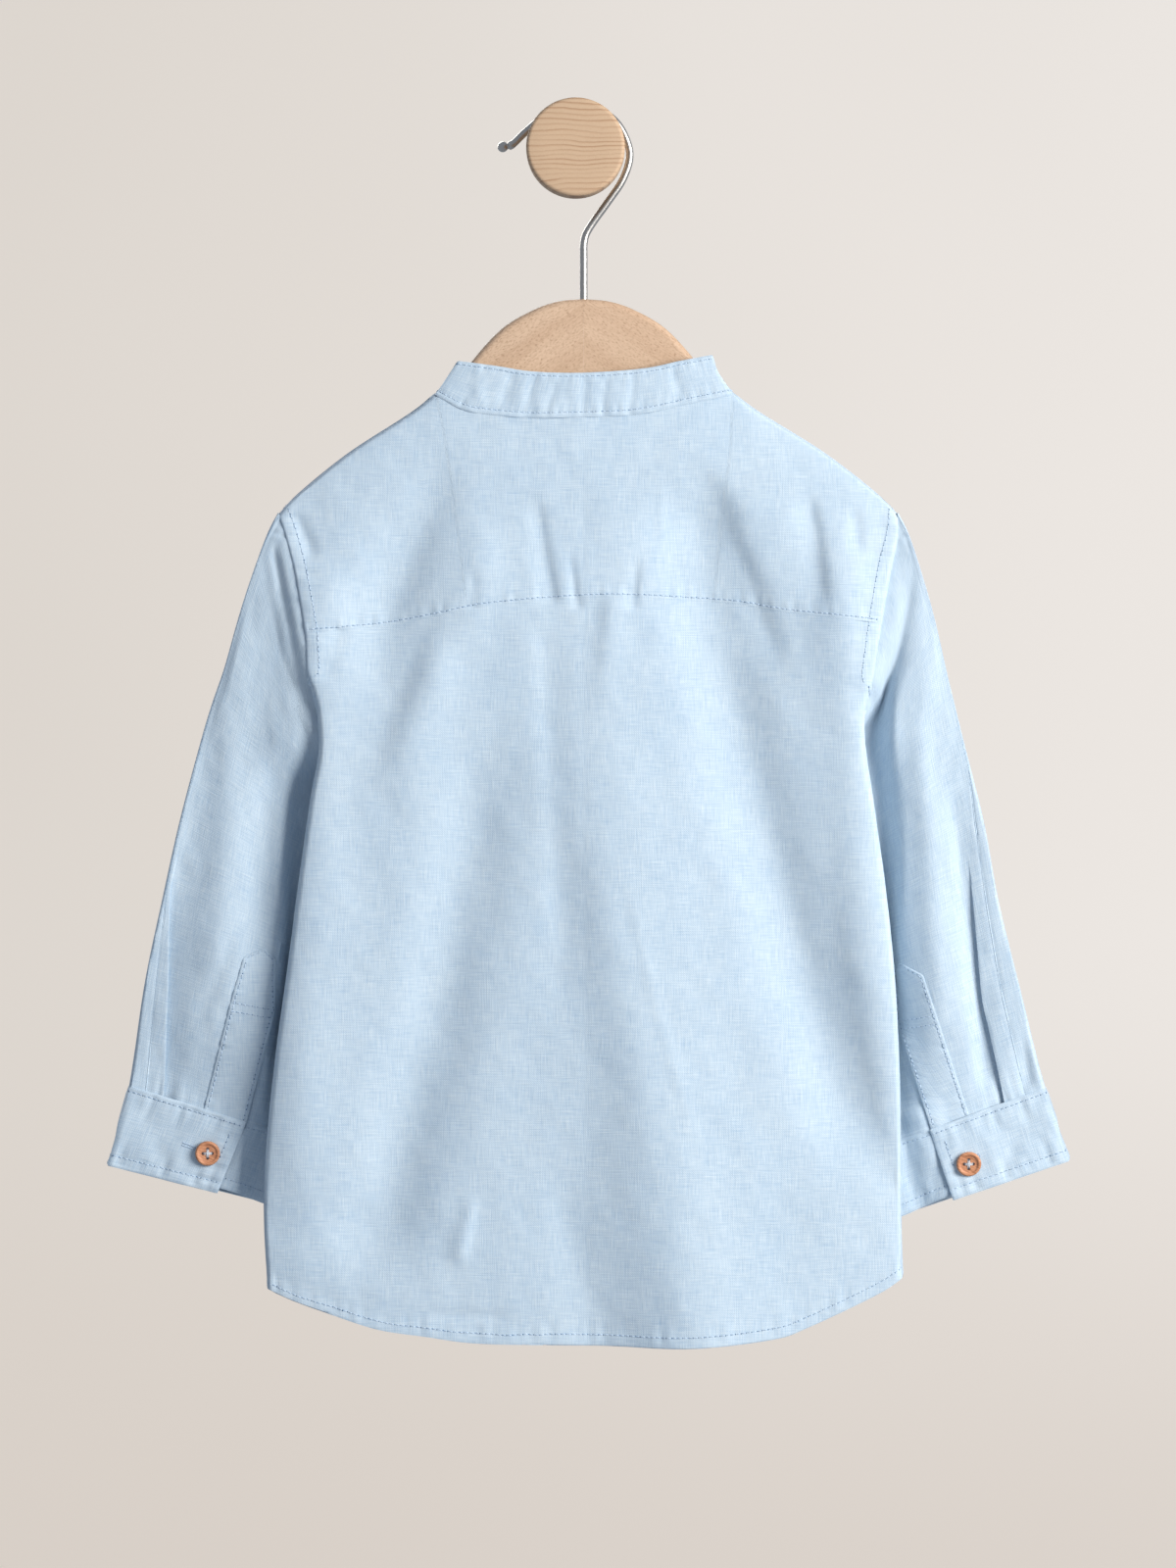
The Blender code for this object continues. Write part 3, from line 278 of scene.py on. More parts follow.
@dataclass(frozen=True)
class Crease:
    """A soft fold hung or pressed into the cloth: a ridge, or with a negative height a trough."""

    start: Pair
    end: Pair
    width: Pair
    height: Pair
    bow: float = 0.0
    lean: float = 0.0
    fade: Pair = (0.25, 0.25)

    def relief(self, x: Array, down: Array) -> Array:
        """Height over the cloth at places, in millimetres.

        Args:
            x, down: The places.

        Returns:
            Heights at them.
        """
        run_x, run_down = self.end[0] - self.start[0], self.end[1] - self.start[1]
        length = math.hypot(run_x, run_down)
        reach_x, reach_down = x - self.start[0], down - self.start[1]
        along = (reach_x * run_x + reach_down * run_down) / length**2
        aside = (reach_x * run_down - reach_down * run_x) / length
        inside = np.clip(along, 0.0, 1.0)
        aside = aside - self.bow * 4.0 * inside * (1.0 - inside)
        width = mix(self.width[0], self.width[1], inside) * (1.0 + self.lean * np.sign(aside))
        ends = ease(along / self.fade[0]) * ease((1.0 - along) / self.fade[1])
        return mix(self.height[0], self.height[1], inside) * bell(aside, width) * ends


@dataclass(frozen=True)
class Crumple:
    """Fine unevenness all over a washed cloth."""

    seed: int
    size: float
    height: float
    upright: float = 1.6
    waves: int = 26

    def relief(self, x: Array, down: Array) -> Array:
        """Height over the cloth at places, in millimetres.

        Args:
            x, down: The places.

        Returns:
            Heights at them.
        """
        chance = np.random.default_rng(self.seed)
        total = np.zeros_like(x)
        for _ in range(self.waves):
            turn = chance.uniform(0.0, math.pi)
            pace = 2.0 * math.pi / (self.size * chance.uniform(0.7, 1.5))
            phase = chance.uniform(0.0, 2.0 * math.pi)
            total += np.sin(pace * (math.cos(turn) * x + math.sin(turn) * down / self.upright) + phase)
        return self.height * total * math.sqrt(2.0 / self.waves)


@dataclass(frozen=True)
class Puckers:
    """Short waves where a row of stitches draws the cloth in."""

    seed: int
    pitch: float = 6.5
    height: float = 0.28
    reach: float = 5.0

    def relief(self, along: Array, distance: Array) -> Array:
        """Height over the cloth, from the place along a seam and the distance from it.

        Args:
            along: Places along the seam.
            distance: Distances from its stitch row.

        Returns:
            Heights at them.
        """
        chance = np.random.default_rng(self.seed)
        wave = np.zeros_like(along)
        for share in (0.62, 0.85, 1.0, 1.3, 1.9):
            wave += np.sin(2.0 * math.pi * along / (self.pitch * share) + chance.uniform(0.0, 6.28))
        return self.height * 0.55 * wave * bell(distance, self.reach)


@dataclass(frozen=True)
class Relief:
    """All that stands up from or dips into one surface."""

    creases: tuple[Crease, ...] = ()
    crumples: tuple[Crumple, ...] = ()

    def at(self, x: Array, down: Array) -> Array:
        """Height over the smooth surface at places."""
        parts = [*self.creases, *self.crumples]
        return sum((part.relief(x, down) for part in parts), np.zeros_like(x))


# --- patches and meshes


@dataclass
class Patch:
    """A grid of points over one surface, with its own cloth coordinates.

    The witness is the run of columns that are sure to face the patch's side.
    """

    points: Array
    facing: Facing
    weave: Array | None = None
    witness: tuple[int | None, int | None] = (None, None)

    def __post_init__(self) -> None:
        """Work out the cloth coordinates where none are given."""
        if self.weave is None:
            self.weave = self.torso_weave()

    @property
    def x(self) -> Array:
        """Each point's x."""
        return self.points[..., 0]

    @property
    def down(self) -> Array:
        """How far down each point is."""
        return -self.points[..., 2]

    def torso_weave(self) -> Array:
        """Cloth coordinates of a piece whose threads run level and upright.

        Returns:
            Each point's place across and down the cloth.
        """
        middle = self.points.shape[1] // 2
        steps = np.diff(self.points, axis=1)
        across = travelled(np.hypot(steps[..., 0], steps[..., 1]), 1)
        across += self.x[:, middle : middle + 1] - across[:, middle : middle + 1]
        steps = np.diff(self.points, axis=0)
        downward = travelled(np.hypot(steps[..., 1], steps[..., 2]))
        return np.stack((across, downward + self.down[:1]), axis=-1)

    def normals(self) -> Array:
        """Unit normals, on the side that the witness columns face.

        Returns:
            A unit vector at each point.
        """
        normals = np.cross(np.gradient(self.points, axis=0), np.gradient(self.points, axis=1))
        normals /= np.maximum(np.linalg.norm(normals, axis=2, keepdims=True), 1e-9)
        return normals * np.sign(normals[:, slice(*self.witness), 1].mean() * self.facing.value)

    def raise_by(self, amount: Array) -> None:
        """Move each point off the surface."""
        self.points = self.points + self.normals() * np.asarray(amount)[..., None]

    def reach(self, axis: int, from_end: bool = False) -> Array:
        """Distance of each point from the first or last line of the grid.

        Args:
            axis: 0 for the distance down the grid, 1 for the distance across.
            from_end: Whether it is measured from the last line.

        Returns:
            Distances along the surface.
        """
        found = travelled(np.linalg.norm(np.diff(self.points, axis=axis), axis=2), axis)
        return np.take(found, [-1], axis) - found if from_end else found

    def trace(self, axis: int, distance: float, lift: float, from_end: bool = False) -> tuple[Array, Array]:
        """Line over the surface that follows one of the grid's edges.

        Args:
            axis: 0 for an edge across the grid, 1 for an edge down it.
            distance: How far from the edge the line runs.
            lift: Its height over the patch.
            from_end: Whether the edge is the grid's last line.

        Returns:
            The line's points, and the normals there.
        """
        normals = self.normals()
        layers = np.concatenate((self.points + normals * lift, normals), axis=2)
        reach = self.reach(axis, from_end)
        if axis == 1:
            layers, reach = layers.swapaxes(0, 1), reach.T
        if from_end:
            layers, reach = layers[::-1], reach[::-1]
        columns = [(reach[:, i], layers[:, i].T) for i in range(reach.shape[1])]
        line = np.array([[np.interp(distance, far, values) for values in layer] for far, layer in columns])
        return line[:, :3], line[:, 3:]

    @property
    def area(self) -> float:
        """Flat area in square metres.

        Returns:
            The area.
        """
        across, downward = np.gradient(self.points, axis=1), np.gradient(self.points, axis=0)
        cells = np.linalg.norm(np.cross(across, downward), axis=2)
        cells[[0, -1]] *= 0.5
        cells[:, [0, -1]] *= 0.5
        return float(cells.sum()) * MM * MM


def show(name: str, mesh: Mesh, finish: Material | None = None) -> Object:
    """Put a mesh in the scene as an object with a finish.

    Args:
        name: The object's name.
        mesh: Its mesh.
        finish: Its material, if it has one.

    Returns:
        The object.
    """
    made = bpy.data.objects.new(name, mesh)
    bpy.context.scene.collection.objects.link(made)
    if finish is not None:
        mesh.materials.append(finish)
    return made


def new_mesh(name: str, points: Sequence[Array], faces: list[list[int]]) -> Mesh:
    """Mesh of points in millimetres and faces of point numbers.

    Args:
        name: Its name.
        points: The points, in one or more arrays.
        faces: Its faces.

    Returns:
        The mesh, in metres.
    """
    mesh = bpy.data.meshes.new(name)
    mesh.from_pydata((np.vstack(points) * MM).tolist(), [], faces)
    return mesh


def poured(form: bmesh.types.BMesh, name: str) -> Mesh:
    """Mesh of a finished form, which is freed.

    Args:
        form: The form.
        name: The mesh's name.

    Returns:
        The mesh.
    """
    mesh = bpy.data.meshes.new(name)
    form.to_mesh(mesh)
    form.free()
    return mesh


def smooth(mesh: Mesh, angle: float) -> None:
    """Shade a mesh smoothly, apart from edges sharper than an angle in degrees."""
    mesh.shade_smooth()
    mesh.set_sharp_from_angle(angle=math.radians(angle))


def settle(piece: Object) -> None:
    """Replace an object's mesh by what its modifiers make of it.

    Args:
        piece: The object.
    """
    bpy.context.view_layer.update()
    seen = piece.evaluated_get(bpy.context.evaluated_depsgraph_get())
    mesh = bpy.data.meshes.new_from_object(seen)
    mesh.name = piece.name
    piece.modifiers.clear()
    piece.data = mesh


def cloth_object(
    node: str, patches: Sequence[Patch], thickness: float, weld: bool = False
) -> Object:
    """Sheet of cloth over patches.

    Args:
        node: The plain CAD node in whose place it stands, which gives its name.
        patches: The surfaces it follows.
        thickness: Its thickness in millimetres.
        weld: Whether edges that meet are joined.

    Returns:
        The piece, with its thickness in its mesh.
    """
    points, faces, weave, count = [], [], [], 0
    for patch in patches:
        rows, columns = patch.points.shape[:2]
        numbers = count + np.arange(rows * columns).reshape(rows, columns)
        corners = (numbers[:-1, :-1], numbers[:-1, 1:], numbers[1:, 1:], numbers[1:, :-1])
        quads = np.stack(corners, axis=-1).reshape(-1, 4)
        if patch.facing is Facing.WALL:
            quads = quads[:, ::-1]
        points.append(patch.points.reshape(-1, 3))
        weave.append(patch.weave.reshape(-1, 2))
        faces.append(quads)
        count += rows * columns
    quads = np.vstack(faces)
    mesh = new_mesh(f"{node.title()}_Cloth", points, quads.tolist())
    layer = mesh.uv_layers.new(name=WEAVE_MAP)
    layer.data.foreach_set("uv", (np.vstack(weave)[quads.ravel()] * MM).ravel().astype(np.float32))
    if weld:
        joined = bmesh.new()
        joined.from_mesh(mesh)
        bmesh.ops.remove_doubles(joined, verts=joined.verts, dist=0.02 * MM)
        bmesh.ops.recalc_face_normals(joined, faces=joined.faces)
        joined.to_mesh(mesh)
        joined.free()
    piece = show(mesh.name, mesh, finishes().chambray)
    wall = piece.modifiers.new("cloth", "SOLIDIFY")
    wall.thickness = thickness * MM
    wall.offset = 0.0
    settle(piece)
    smooth(piece.data, 50.0)
    return keep(piece, "chambray", node)


class Landing:
    """Finished surfaces, on which other pieces are laid."""

    def __init__(self, *pieces: Object) -> None:
        """Take in the pieces' surfaces.

        Args:
            pieces: The pieces.
        """
        points, faces = [], []
        for piece in pieces:
            start = len(points)
            points += [vertex.co / MM for vertex in piece.data.vertices]
            faces += [[start + number for number in polygon.vertices] for polygon in piece.data.polygons]
        self.tree = BVHTree.FromPolygons(points, faces)

    def on(self, x: float, down: float, facing: Facing) -> tuple[Array, Array] | None:
        """Find the surface at a place.

        Args:
            x, down: The place.
            facing: The side from which it is seen.

        Returns:
            The point and its outward normal, or None past the surface's edge.
        """
        origin = Vector((x, 300.0 * facing.value, -down))
        point, normal, _, _ = self.tree.ray_cast(origin, Vector((0.0, -facing.value, 0.0)))
        if point is None:
            return None
        normal = np.array(normal)
        return np.array(point), normal * (1.0 if normal[1] * facing.value > 0 else -1.0)

    def lay(self, places: Array, facing: Facing, lift: float) -> Array:
        """Points over the surface at a grid of places, each lifted off it towards its facing side.

        Args:
            places: The grid of places.
            facing: The side on which they lie.
            lift: How far off the surface.

        Returns:
            The points.
        """
        found = np.zeros((*places.shape[:2], 3))
        last = MIDDLE_Y
        for index in np.ndindex(places.shape[:2]):
            x, down = places[index]
            hit = self.on(x, down, facing)
            last = hit[0][1] if hit else last
            found[index] = (x, last + facing.value * lift, -down)
        return found


@dataclass
class Stitches:
    """Rows of machine stitches, with painted shade in their needle holes, gathered into one mesh."""

    pitch: float = 2.5
    length: float = 1.7
    radius: float = 0.26
    points: list[Array] = field(default_factory=list)
    faces: list[list[int]] = field(default_factory=list)
    shades: list[int] = field(default_factory=list)

    def _add(self, points: Array, faces: list[list[int]], shade: int) -> None:
        """Take in a small closed form.

        Args:
            points: Its points.
            faces: Its faces.
            shade: 0 for thread and 1 for a needle hole's painted shade.
        """
        start = sum(len(part) for part in self.points)
        self.points.append(points)
        self.faces += [[start + number for number in face] for face in faces]
        self.shades += [shade] * len(faces)

    def strand(self, start: Array, end: Array, normal: Array, radius: float, rise: float = 0.6) -> None:
        """One stitch that arches from hole to hole.

        Args:
            start, end: Where the thread leaves and enters the cloth.
            normal: The cloth's normal there.
            radius: The thread's radius.
            rise: How far its middle stands up, in radii.
        """
        sides, rings = 6, 5
        along = (end - start) / np.linalg.norm(end - start)
        ring = circle(sides, np.cross(normal, along), normal)
        points = []
        for share in np.linspace(0.0, 1.0, rings):
            hump = math.sin(math.pi * share)
            centre = mix(start, end, share) + normal * radius * (rise * hump - 0.4)
            points.append(centre + ring * radius * (0.45 + 0.55 * hump**0.5))
        self._add(np.vstack(points), bands(rings, sides, capped=True), 0)

    def hole(self, centre: Array, normal: Array, radius: float = 0.46) -> None:
        """A small dark disc of painted shade where the needle's hole dips between two stitches.

        Args:
            centre: Its middle on the cloth.
            normal: The cloth's normal there.
            radius: Its radius.
        """
        aside = np.cross(normal, (0.3, 0.1, 0.9))
        aside /= np.linalg.norm(aside)
        ring = centre + radius * circle(6, aside, np.cross(normal, aside))
        points = np.vstack((ring - normal * 0.03, centre + normal * 0.05))
        # Face set 1 takes the painted shade of the needle's hole.
        self._add(points, [[i, (i + 1) % 6, 6] for i in range(6)] + [[5, 4, 3, 2, 1, 0]], 1)

    def follow(self, points: Array, normals: Array) -> None:
        """Stitch along a line of points on the cloth's face, with its normals.

        Args:
            points: The line's points.
            normals: The cloth's normals at them.
        """
        along = travelled(np.linalg.norm(np.diff(points, axis=0), axis=1))
        for number in range(int(along[-1] // self.pitch)):
            middle = (number + 0.5) * self.pitch
            places = middle + np.array((-self.length / 2, self.length / 2, self.pitch / 2))
            ends = np.stack([np.interp(places, along, values) for values in points.T], axis=-1)
            normal = np.array([np.interp(middle, along, values) for values in normals.T])
            normal /= np.linalg.norm(normal)
            if np.linalg.norm(ends[1] - ends[0]) > 0.6 * self.length:
                self.strand(ends[0], ends[1], normal, self.radius)
                # Painted shade in the needle's hole after each stitch.
                self.hole(ends[2], normal)

    def row(self, path: Array, landing: Landing, facing: Facing) -> None:
        """Stitch along a line of places, where it meets the cloth on the side that it is seen from.

        Args:
            path: The line's places.
            landing: The cloth.
            facing: The side from which it is seen.
        """
        line = Line.through(path)
        places = line.at(np.linspace(0.0, 1.0, int(line.length) + 2))
        found = [hit for hit in (landing.on(*place, facing) for place in places) if hit]
        if len(found) > 1:
            self.follow(*(np.array(part) for part in zip(*found)))

    def bars(self, start: Spot, end: Spot, landing: Landing, facing: Facing, width: float = 2.0) -> None:
        """A buttonhole: two close rows of short bars along its slit.

        Args:
            start, end: The slit's ends.
            landing: The cloth it is worked in.
            facing: The side from which it is seen.
            width: The width over both rows.
        """
        slit = np.array(end) - np.array(start)
        length = math.hypot(*slit)
        aside = np.array((slit[1], -slit[0])) / length
        for share in np.linspace(0.0, 1.0, int(length / 0.42)):
            for low, high in ((0.12, 0.5), (-0.12, -0.5)):
                middle = mix(np.array(start), np.array(end), share)
                ends = [landing.on(*(middle + aside * width * reach), facing) for reach in (low, high)]
                if None not in ends:
                    self.strand(ends[0][0], ends[1][0], ends[0][1], 0.2, 0.9)
        # Painted shade along the slit, as small dark discs.
        for share in np.linspace(0.02, 0.98, int(length / 0.5)):
            hit = landing.on(*mix(np.array(start), np.array(end), share), facing)
            if hit:
                self.hole(*hit, radius=0.26)

    def make(self, name: str, slot: str = "chambray") -> Object:
        """The mesh of all the rows so far.

        Args:
            name: The piece's name.
            slot: The CAD material that the threads belong to.

        Returns:
            The piece.
        """
        mesh = new_mesh(name, self.points, self.faces)
        made = finishes()
        piece = show(name, mesh, made.button_thread if slot == "button" else made.thread)
        # The second material is the needle holes' painted shade.
        mesh.materials.append(made.hole)
        mesh.polygons.foreach_set("material_index", self.shades)
        mesh.shade_smooth()
        return keep(piece, slot)


# --- shader tools


@dataclass(frozen=True)
class Value:
    """A number that changes over a surface; its operators add Math nodes."""

    recipe: "Recipe"
    socket: NodeSocket

    def _maths(self, operation: str, first: "Value | float", second: "Value | float" = 0.0) -> "Value":
        """The result of a Math node."""
        made = self.recipe.node("ShaderNodeMath", {"operation": operation}, {0: first, 1: second})
        return Value(self.recipe, made.outputs[0])

    def __add__(self, other: "Value | float") -> "Value":
        """Sum."""
        return self._maths("ADD", self, other)

    __radd__ = __add__

    def __sub__(self, other: "Value | float") -> "Value":
        """Difference."""
        return self._maths("SUBTRACT", self, other)

    def __rsub__(self, other: float) -> "Value":
        """Difference from a number."""
        return self._maths("SUBTRACT", other, self)

    def __mul__(self, other: "Value | float") -> "Value":
        """Product."""
        return self._maths("MULTIPLY", self, other)

    __rmul__ = __mul__

    def fraction(self) -> "Value":
        """What is left over after the whole number."""
        return self._maths("FRACT", self)

    def wave(self) -> "Value":
        """Sine."""
        return self._maths("SINE", self)

    def between(self, low: float, high: float) -> "Value":
        """Smooth step from 0 at one value to 1 at the other.

        Args:
            low: Where the step starts.
            high: Where it ends.

        Returns:
            The step's value.
        """
        made = self.recipe.node(
            "ShaderNodeMapRange",
            {"interpolation_type": "SMOOTHSTEP"},
            {"Value": self, "From Min": low, "From Max": high},
        )
        return Value(self.recipe, made.outputs["Result"])


class Recipe:
    """A material's node tree, built up node by node from a place on the surface."""

    def __init__(self, name: str, woven: bool = False) -> None:
        """Start a material.

        Args:
            name: Its name.
            woven: Whether its place runs along the cloth's threads, and not in the object's space.
        """
        self.material = bpy.data.materials.new(name)
        self.material.use_nodes = True
        self.tree = self.material.node_tree
        self.shader = self.tree.nodes["Principled BSDF"]
        if woven:
            self.place = self.node("ShaderNodeUVMap", {"uv_map": WEAVE_MAP}, {}).outputs[0]
        else:
            self.place = self.node("ShaderNodeTexCoord", {}, {}).outputs["Object"]

    def fill(self, socket: NodeSocket, value: object) -> None:
        """Link a socket to a value's node, or set it to a constant.

        Args:
            socket: The socket.
            value: A value, another node's socket or a constant.
        """
        if isinstance(value, Value):
            value = value.socket
        if isinstance(value, NodeSocket):
            self.tree.links.new(value, socket)
        else:
            socket.default_value = value

    def node(self, kind: str, settings: dict[str, object], sockets: dict[object, object]) -> Node:
        """Add a node.

        Args:
            kind: Its type.
            settings: Its own settings, which are set first.
            sockets: Constants or links of its inputs, by name or number.

        Returns:
            The node.
        """
        made = self.tree.nodes.new(kind)
        for name, value in settings.items():
            setattr(made, name, value)
        for name, value in sockets.items():
            self.fill(made.inputs[name], value)
        return made

    def finish(self, **sockets: object) -> Material:
        """Fill the shader's sockets, named with _ for a space, and give back the material.

        Args:
            sockets: Constants or links, by the sockets' names.

        Returns:
            The material.
        """
        for name, value in sockets.items():
            self.fill(self.shader.inputs[name.replace("_", " ")], value)
        return self.material

    def scaled(
        self, size: Triple, turn: Triple = (0.0, 0.0, 0.0), origin: Triple = (0.0, 0.0, 0.0)
    ) -> NodeSocket:
        """Turned place in units of a feature's size.

        Args:
            size: The feature's size along each turned axis, in millimetres.
            turn: Turn of the axes, in degrees.
            origin: Where the axes start, in millimetres.

        Returns:
            The new place.
        """
        sockets = {
            "Vector": self.place,
            "Location": tuple(c * MM for c in origin),
            "Rotation": tuple(math.radians(c) for c in turn),
            "Scale": tuple(c * MM for c in size),
        }
        return self.node("ShaderNodeMapping", {"vector_type": "TEXTURE"}, sockets).outputs[0]

    def noise(self, *size: float, detail: float = 1.0, warp: float = 0.0, **place: Triple) -> Value:
        """Noise around 0.5.

        Args:
            size: How far apart its features are along each axis, in millimetres.
            detail: How many finer layers it has.
            warp: How far it is bent by itself.
            place: Turn and origin of the axes.

        Returns:
            The noise's value.
        """
        sockets = {"Vector": self.scaled(size, **place), "Scale": 1.0, "Detail": detail, "Distortion": warp}
        return Value(self, self.node("ShaderNodeTexNoise", {}, sockets).outputs[0])

    def part(self, place: NodeSocket, axis: str) -> Value:
        """One coordinate of a place."""
        return Value(self, self.node("ShaderNodeSeparateXYZ", {}, {0: place}).outputs[axis])

    def blend(self, amount: "Value | float", first: object, second: object) -> NodeSocket:
        """Mix of two colours.

        Args:
            amount: 0 for the first colour and 1 for the second.
            first, second: The colours.

        Returns:
            The mixed colour.
        """
        first, second = ((*c, 1.0) if isinstance(c, tuple) and len(c) == 3 else c for c in (first, second))
        made = self.node("ShaderNodeMix", {"data_type": "RGBA"}, {0: amount, 6: first, 7: second})
        return made.outputs[2]

    def relief(self, height: Value, depth: float) -> NodeSocket:
        """Normal bent by a height; depth is in millimetres."""
        sockets = {"Height": height, "Distance": depth * MM, "Strength": 1.0}
        return self.node("ShaderNodeBump", {}, sockets).outputs[0]


@dataclass(frozen=True)
class Chambray:
    """Plain weave of blue warp and white weft, with slubs in both."""

    blue: Colour = (0.355, 0.488, 0.630)
    white: Colour = (0.665, 0.750, 0.805)
    slub: Pair = (0.55, 13.0)
    fine: Pair = (0.34, 6.0)
    yarn: float = 0.5
    contrast: float = 1.0
    depth: float = 0.09

    def material(self) -> Material:
        """The cloth's material.

        Returns:
            The material.
        """
        recipe = Recipe("chambray", woven=True)
        threads = []
        for narrow, long in (self.slub, self.fine):
            for size in ((narrow, long, 1.0), (long, narrow, 1.0)):
                threads.append(recipe.noise(*size, origin=(narrow * 31, long * 7, 0.0)))
        warp, weft, fine_warp, fine_weft = threads
        patchy = recipe.noise(26.0, 34.0, 1.0, detail=2.0)
        yarns = recipe.scaled((self.yarn / math.pi,) * 2 + (1.0,))
        crossing = recipe.part(yarns, "X").wave() * recipe.part(yarns, "Y").wave()
        streaks = (warp + weft) * 0.5 + (fine_warp + fine_weft) * 0.5 - 1.0
        tone = 0.5 + streaks * self.contrast + crossing * 0.05 + (patchy - 0.5) * 0.22
        height = (warp + weft) * 0.8 + (fine_warp + fine_weft) * 0.7 + crossing * 0.25
        return recipe.finish(
            Base_Color=recipe.blend(tone.between(-0.1, 1.1), self.blue, self.white),
            Roughness=0.86 + (warp - 0.5) * 0.12,
            Specular_IOR_Level=0.3,
            Sheen_Weight=0.12,
            Sheen_Roughness=0.45,
            Normal=recipe.relief(height, self.depth),
        )


@dataclass(frozen=True)
class Thread:
    """Sewing thread, twisted; also the painted shade of the needle's holes."""

    name: str = "sewing_thread"
    colour: Colour = (0.52, 0.64, 0.78)
    # Colour of the painted shade in the needle's holes.
    shade: Colour = (0.10, 0.18, 0.30)

    def material(self) -> Material:
        """The thread's material.

        Returns:
            The material.
        """
        recipe = Recipe(self.name)
        twist = recipe.noise(0.5, 0.5, 0.25, turn=(0.0, 35.0, 0.0))
        dim = tuple(c * 0.86 for c in self.colour)
        return recipe.finish(
            Base_Color=recipe.blend(twist.between(0.3, 0.7), dim, self.colour),
            Roughness=0.6,
            Normal=recipe.relief(twist, 0.05),
        )

    def hole(self) -> Material:
        """The material of the painted shade in the needle's holes.

        Returns:
            The material.
        """
        recipe = Recipe("needle_hole_painted_shade")
        lint = recipe.noise(0.3, 0.3, 0.3)
        pale = tuple(c * 1.5 for c in self.shade)
        return recipe.finish(Base_Color=recipe.blend(lint, self.shade, pale), Roughness=0.95)


@dataclass(frozen=True)
class ButtonWood:
    """Reddish wood of the buttons, finely grained and waxed."""

    pale: Colour = (0.68, 0.315, 0.165)
    dark: Colour = (0.36, 0.13, 0.055)

    def material(self) -> Material:
        """The buttons' material.

        Returns:
            The material.
        """
        recipe = Recipe("button_wood")
        turn = (0.0, 24.0, 0.0)
        grain = recipe.noise(4.0, 4.0, 0.55, detail=2.0, warp=0.4, turn=turn)
        pores = recipe.noise(1.1, 1.1, 0.16, turn=turn)
        tone = grain.between(0.3, 0.7) * 0.75 + pores.between(0.55, 0.75) * 0.25
        return recipe.finish(
            Base_Color=recipe.blend(tone, self.pale, self.dark),
            Roughness=0.42 + grain * 0.16,
            Normal=recipe.relief(pores, 0.04),
        )


@dataclass(frozen=True)
class Beech:
    """Oiled beech with short dark flecks along its grain; tilt is the grain's slope in degrees."""

    name: str
    tilt: float
    pale: Colour = (0.680, 0.480, 0.330)
    dark: Colour = (0.540, 0.355, 0.230)
    fleck: Colour = (0.340, 0.190, 0.105)

    def material(self) -> Material:
        """The wood's material.

        Returns:
            The material.
        """
        recipe = Recipe(self.name)
        turn = (0.0, -self.tilt, 0.0)
        band = recipe.noise(90.0, 14.0, 7.0, detail=2.0, warp=0.3, turn=turn)
        fibre = recipe.noise(9.0, 1.2, 0.45, detail=2.0, turn=turn)
        dashes = recipe.noise(1.7, 0.5, 0.3, turn=turn)
        fleck = dashes.between(0.55, 0.66)
        tone = band.between(0.3, 0.7) * 0.55 + fibre.between(0.3, 0.7) * 0.35
        wood = recipe.blend(tone, self.pale, self.dark)
        return recipe.finish(
            Base_Color=recipe.blend(fleck * 0.6, wood, self.fleck),
            Roughness=0.5 + fibre * 0.14 + fleck * 0.15,
            Specular_IOR_Level=0.4,
            Normal=recipe.relief(fibre * 0.5 - fleck, 0.05),
        )


@dataclass(frozen=True)
class PegWood:
    """Turned softwood with level growth lines, a little wavy."""

    pale: Colour = (0.570, 0.395, 0.255)
    dark: Colour = (0.400, 0.230, 0.130)
    spacing: float = 2.3

    def material(self) -> Material:
        """The peg's material.

        Returns:
            The material.
        """
        recipe = Recipe("peg_wood")
        drift, waver = recipe.noise(34.0, 60.0, 16.0), recipe.noise(7.0, 30.0, 5.0)
        level = recipe.part(recipe.scaled((self.spacing,) * 3), "Z") + drift * 3.0 + waver * 0.3
        year = level.fraction()
        late = year.between(0.45, 0.93) * (1.0 - year.between(0.93, 1.0))
        strength = recipe.noise(60.0, 60.0, 3.6).between(0.3, 0.62) * 0.75 + 0.25
        pores = recipe.noise(0.45, 2.5, 0.3)
        tone = late * strength * 0.85 + pores.between(0.5, 0.75) * 0.22
        return recipe.finish(
            Base_Color=recipe.blend(tone, self.pale, self.dark),
            Roughness=0.58 + pores * 0.12,
            Specular_IOR_Level=0.35,
            Normal=recipe.relief(pores * 0.6 - late, 0.06),
        )


@dataclass(frozen=True)
class SatinSteel:
    """Drawn steel wire with a satin nickel finish."""

    pale: Colour = (0.66, 0.63, 0.59)
    dark: Colour = (0.50, 0.47, 0.43)

    def material(self) -> Material:
        """The wire's material.

        Returns:
            The material.
        """
        recipe = Recipe("satin_steel")
        cloud = recipe.noise(4.0, 4.0, 9.0, detail=2.0)
        scratches = recipe.noise(0.25, 0.25, 3.0)
        return recipe.finish(
            Base_Color=recipe.blend(cloud, self.dark, self.pale),
            Metallic=1.0,
            Roughness=0.26 + scratches * 0.14,
            Normal=recipe.relief(scratches, 0.012),
        )


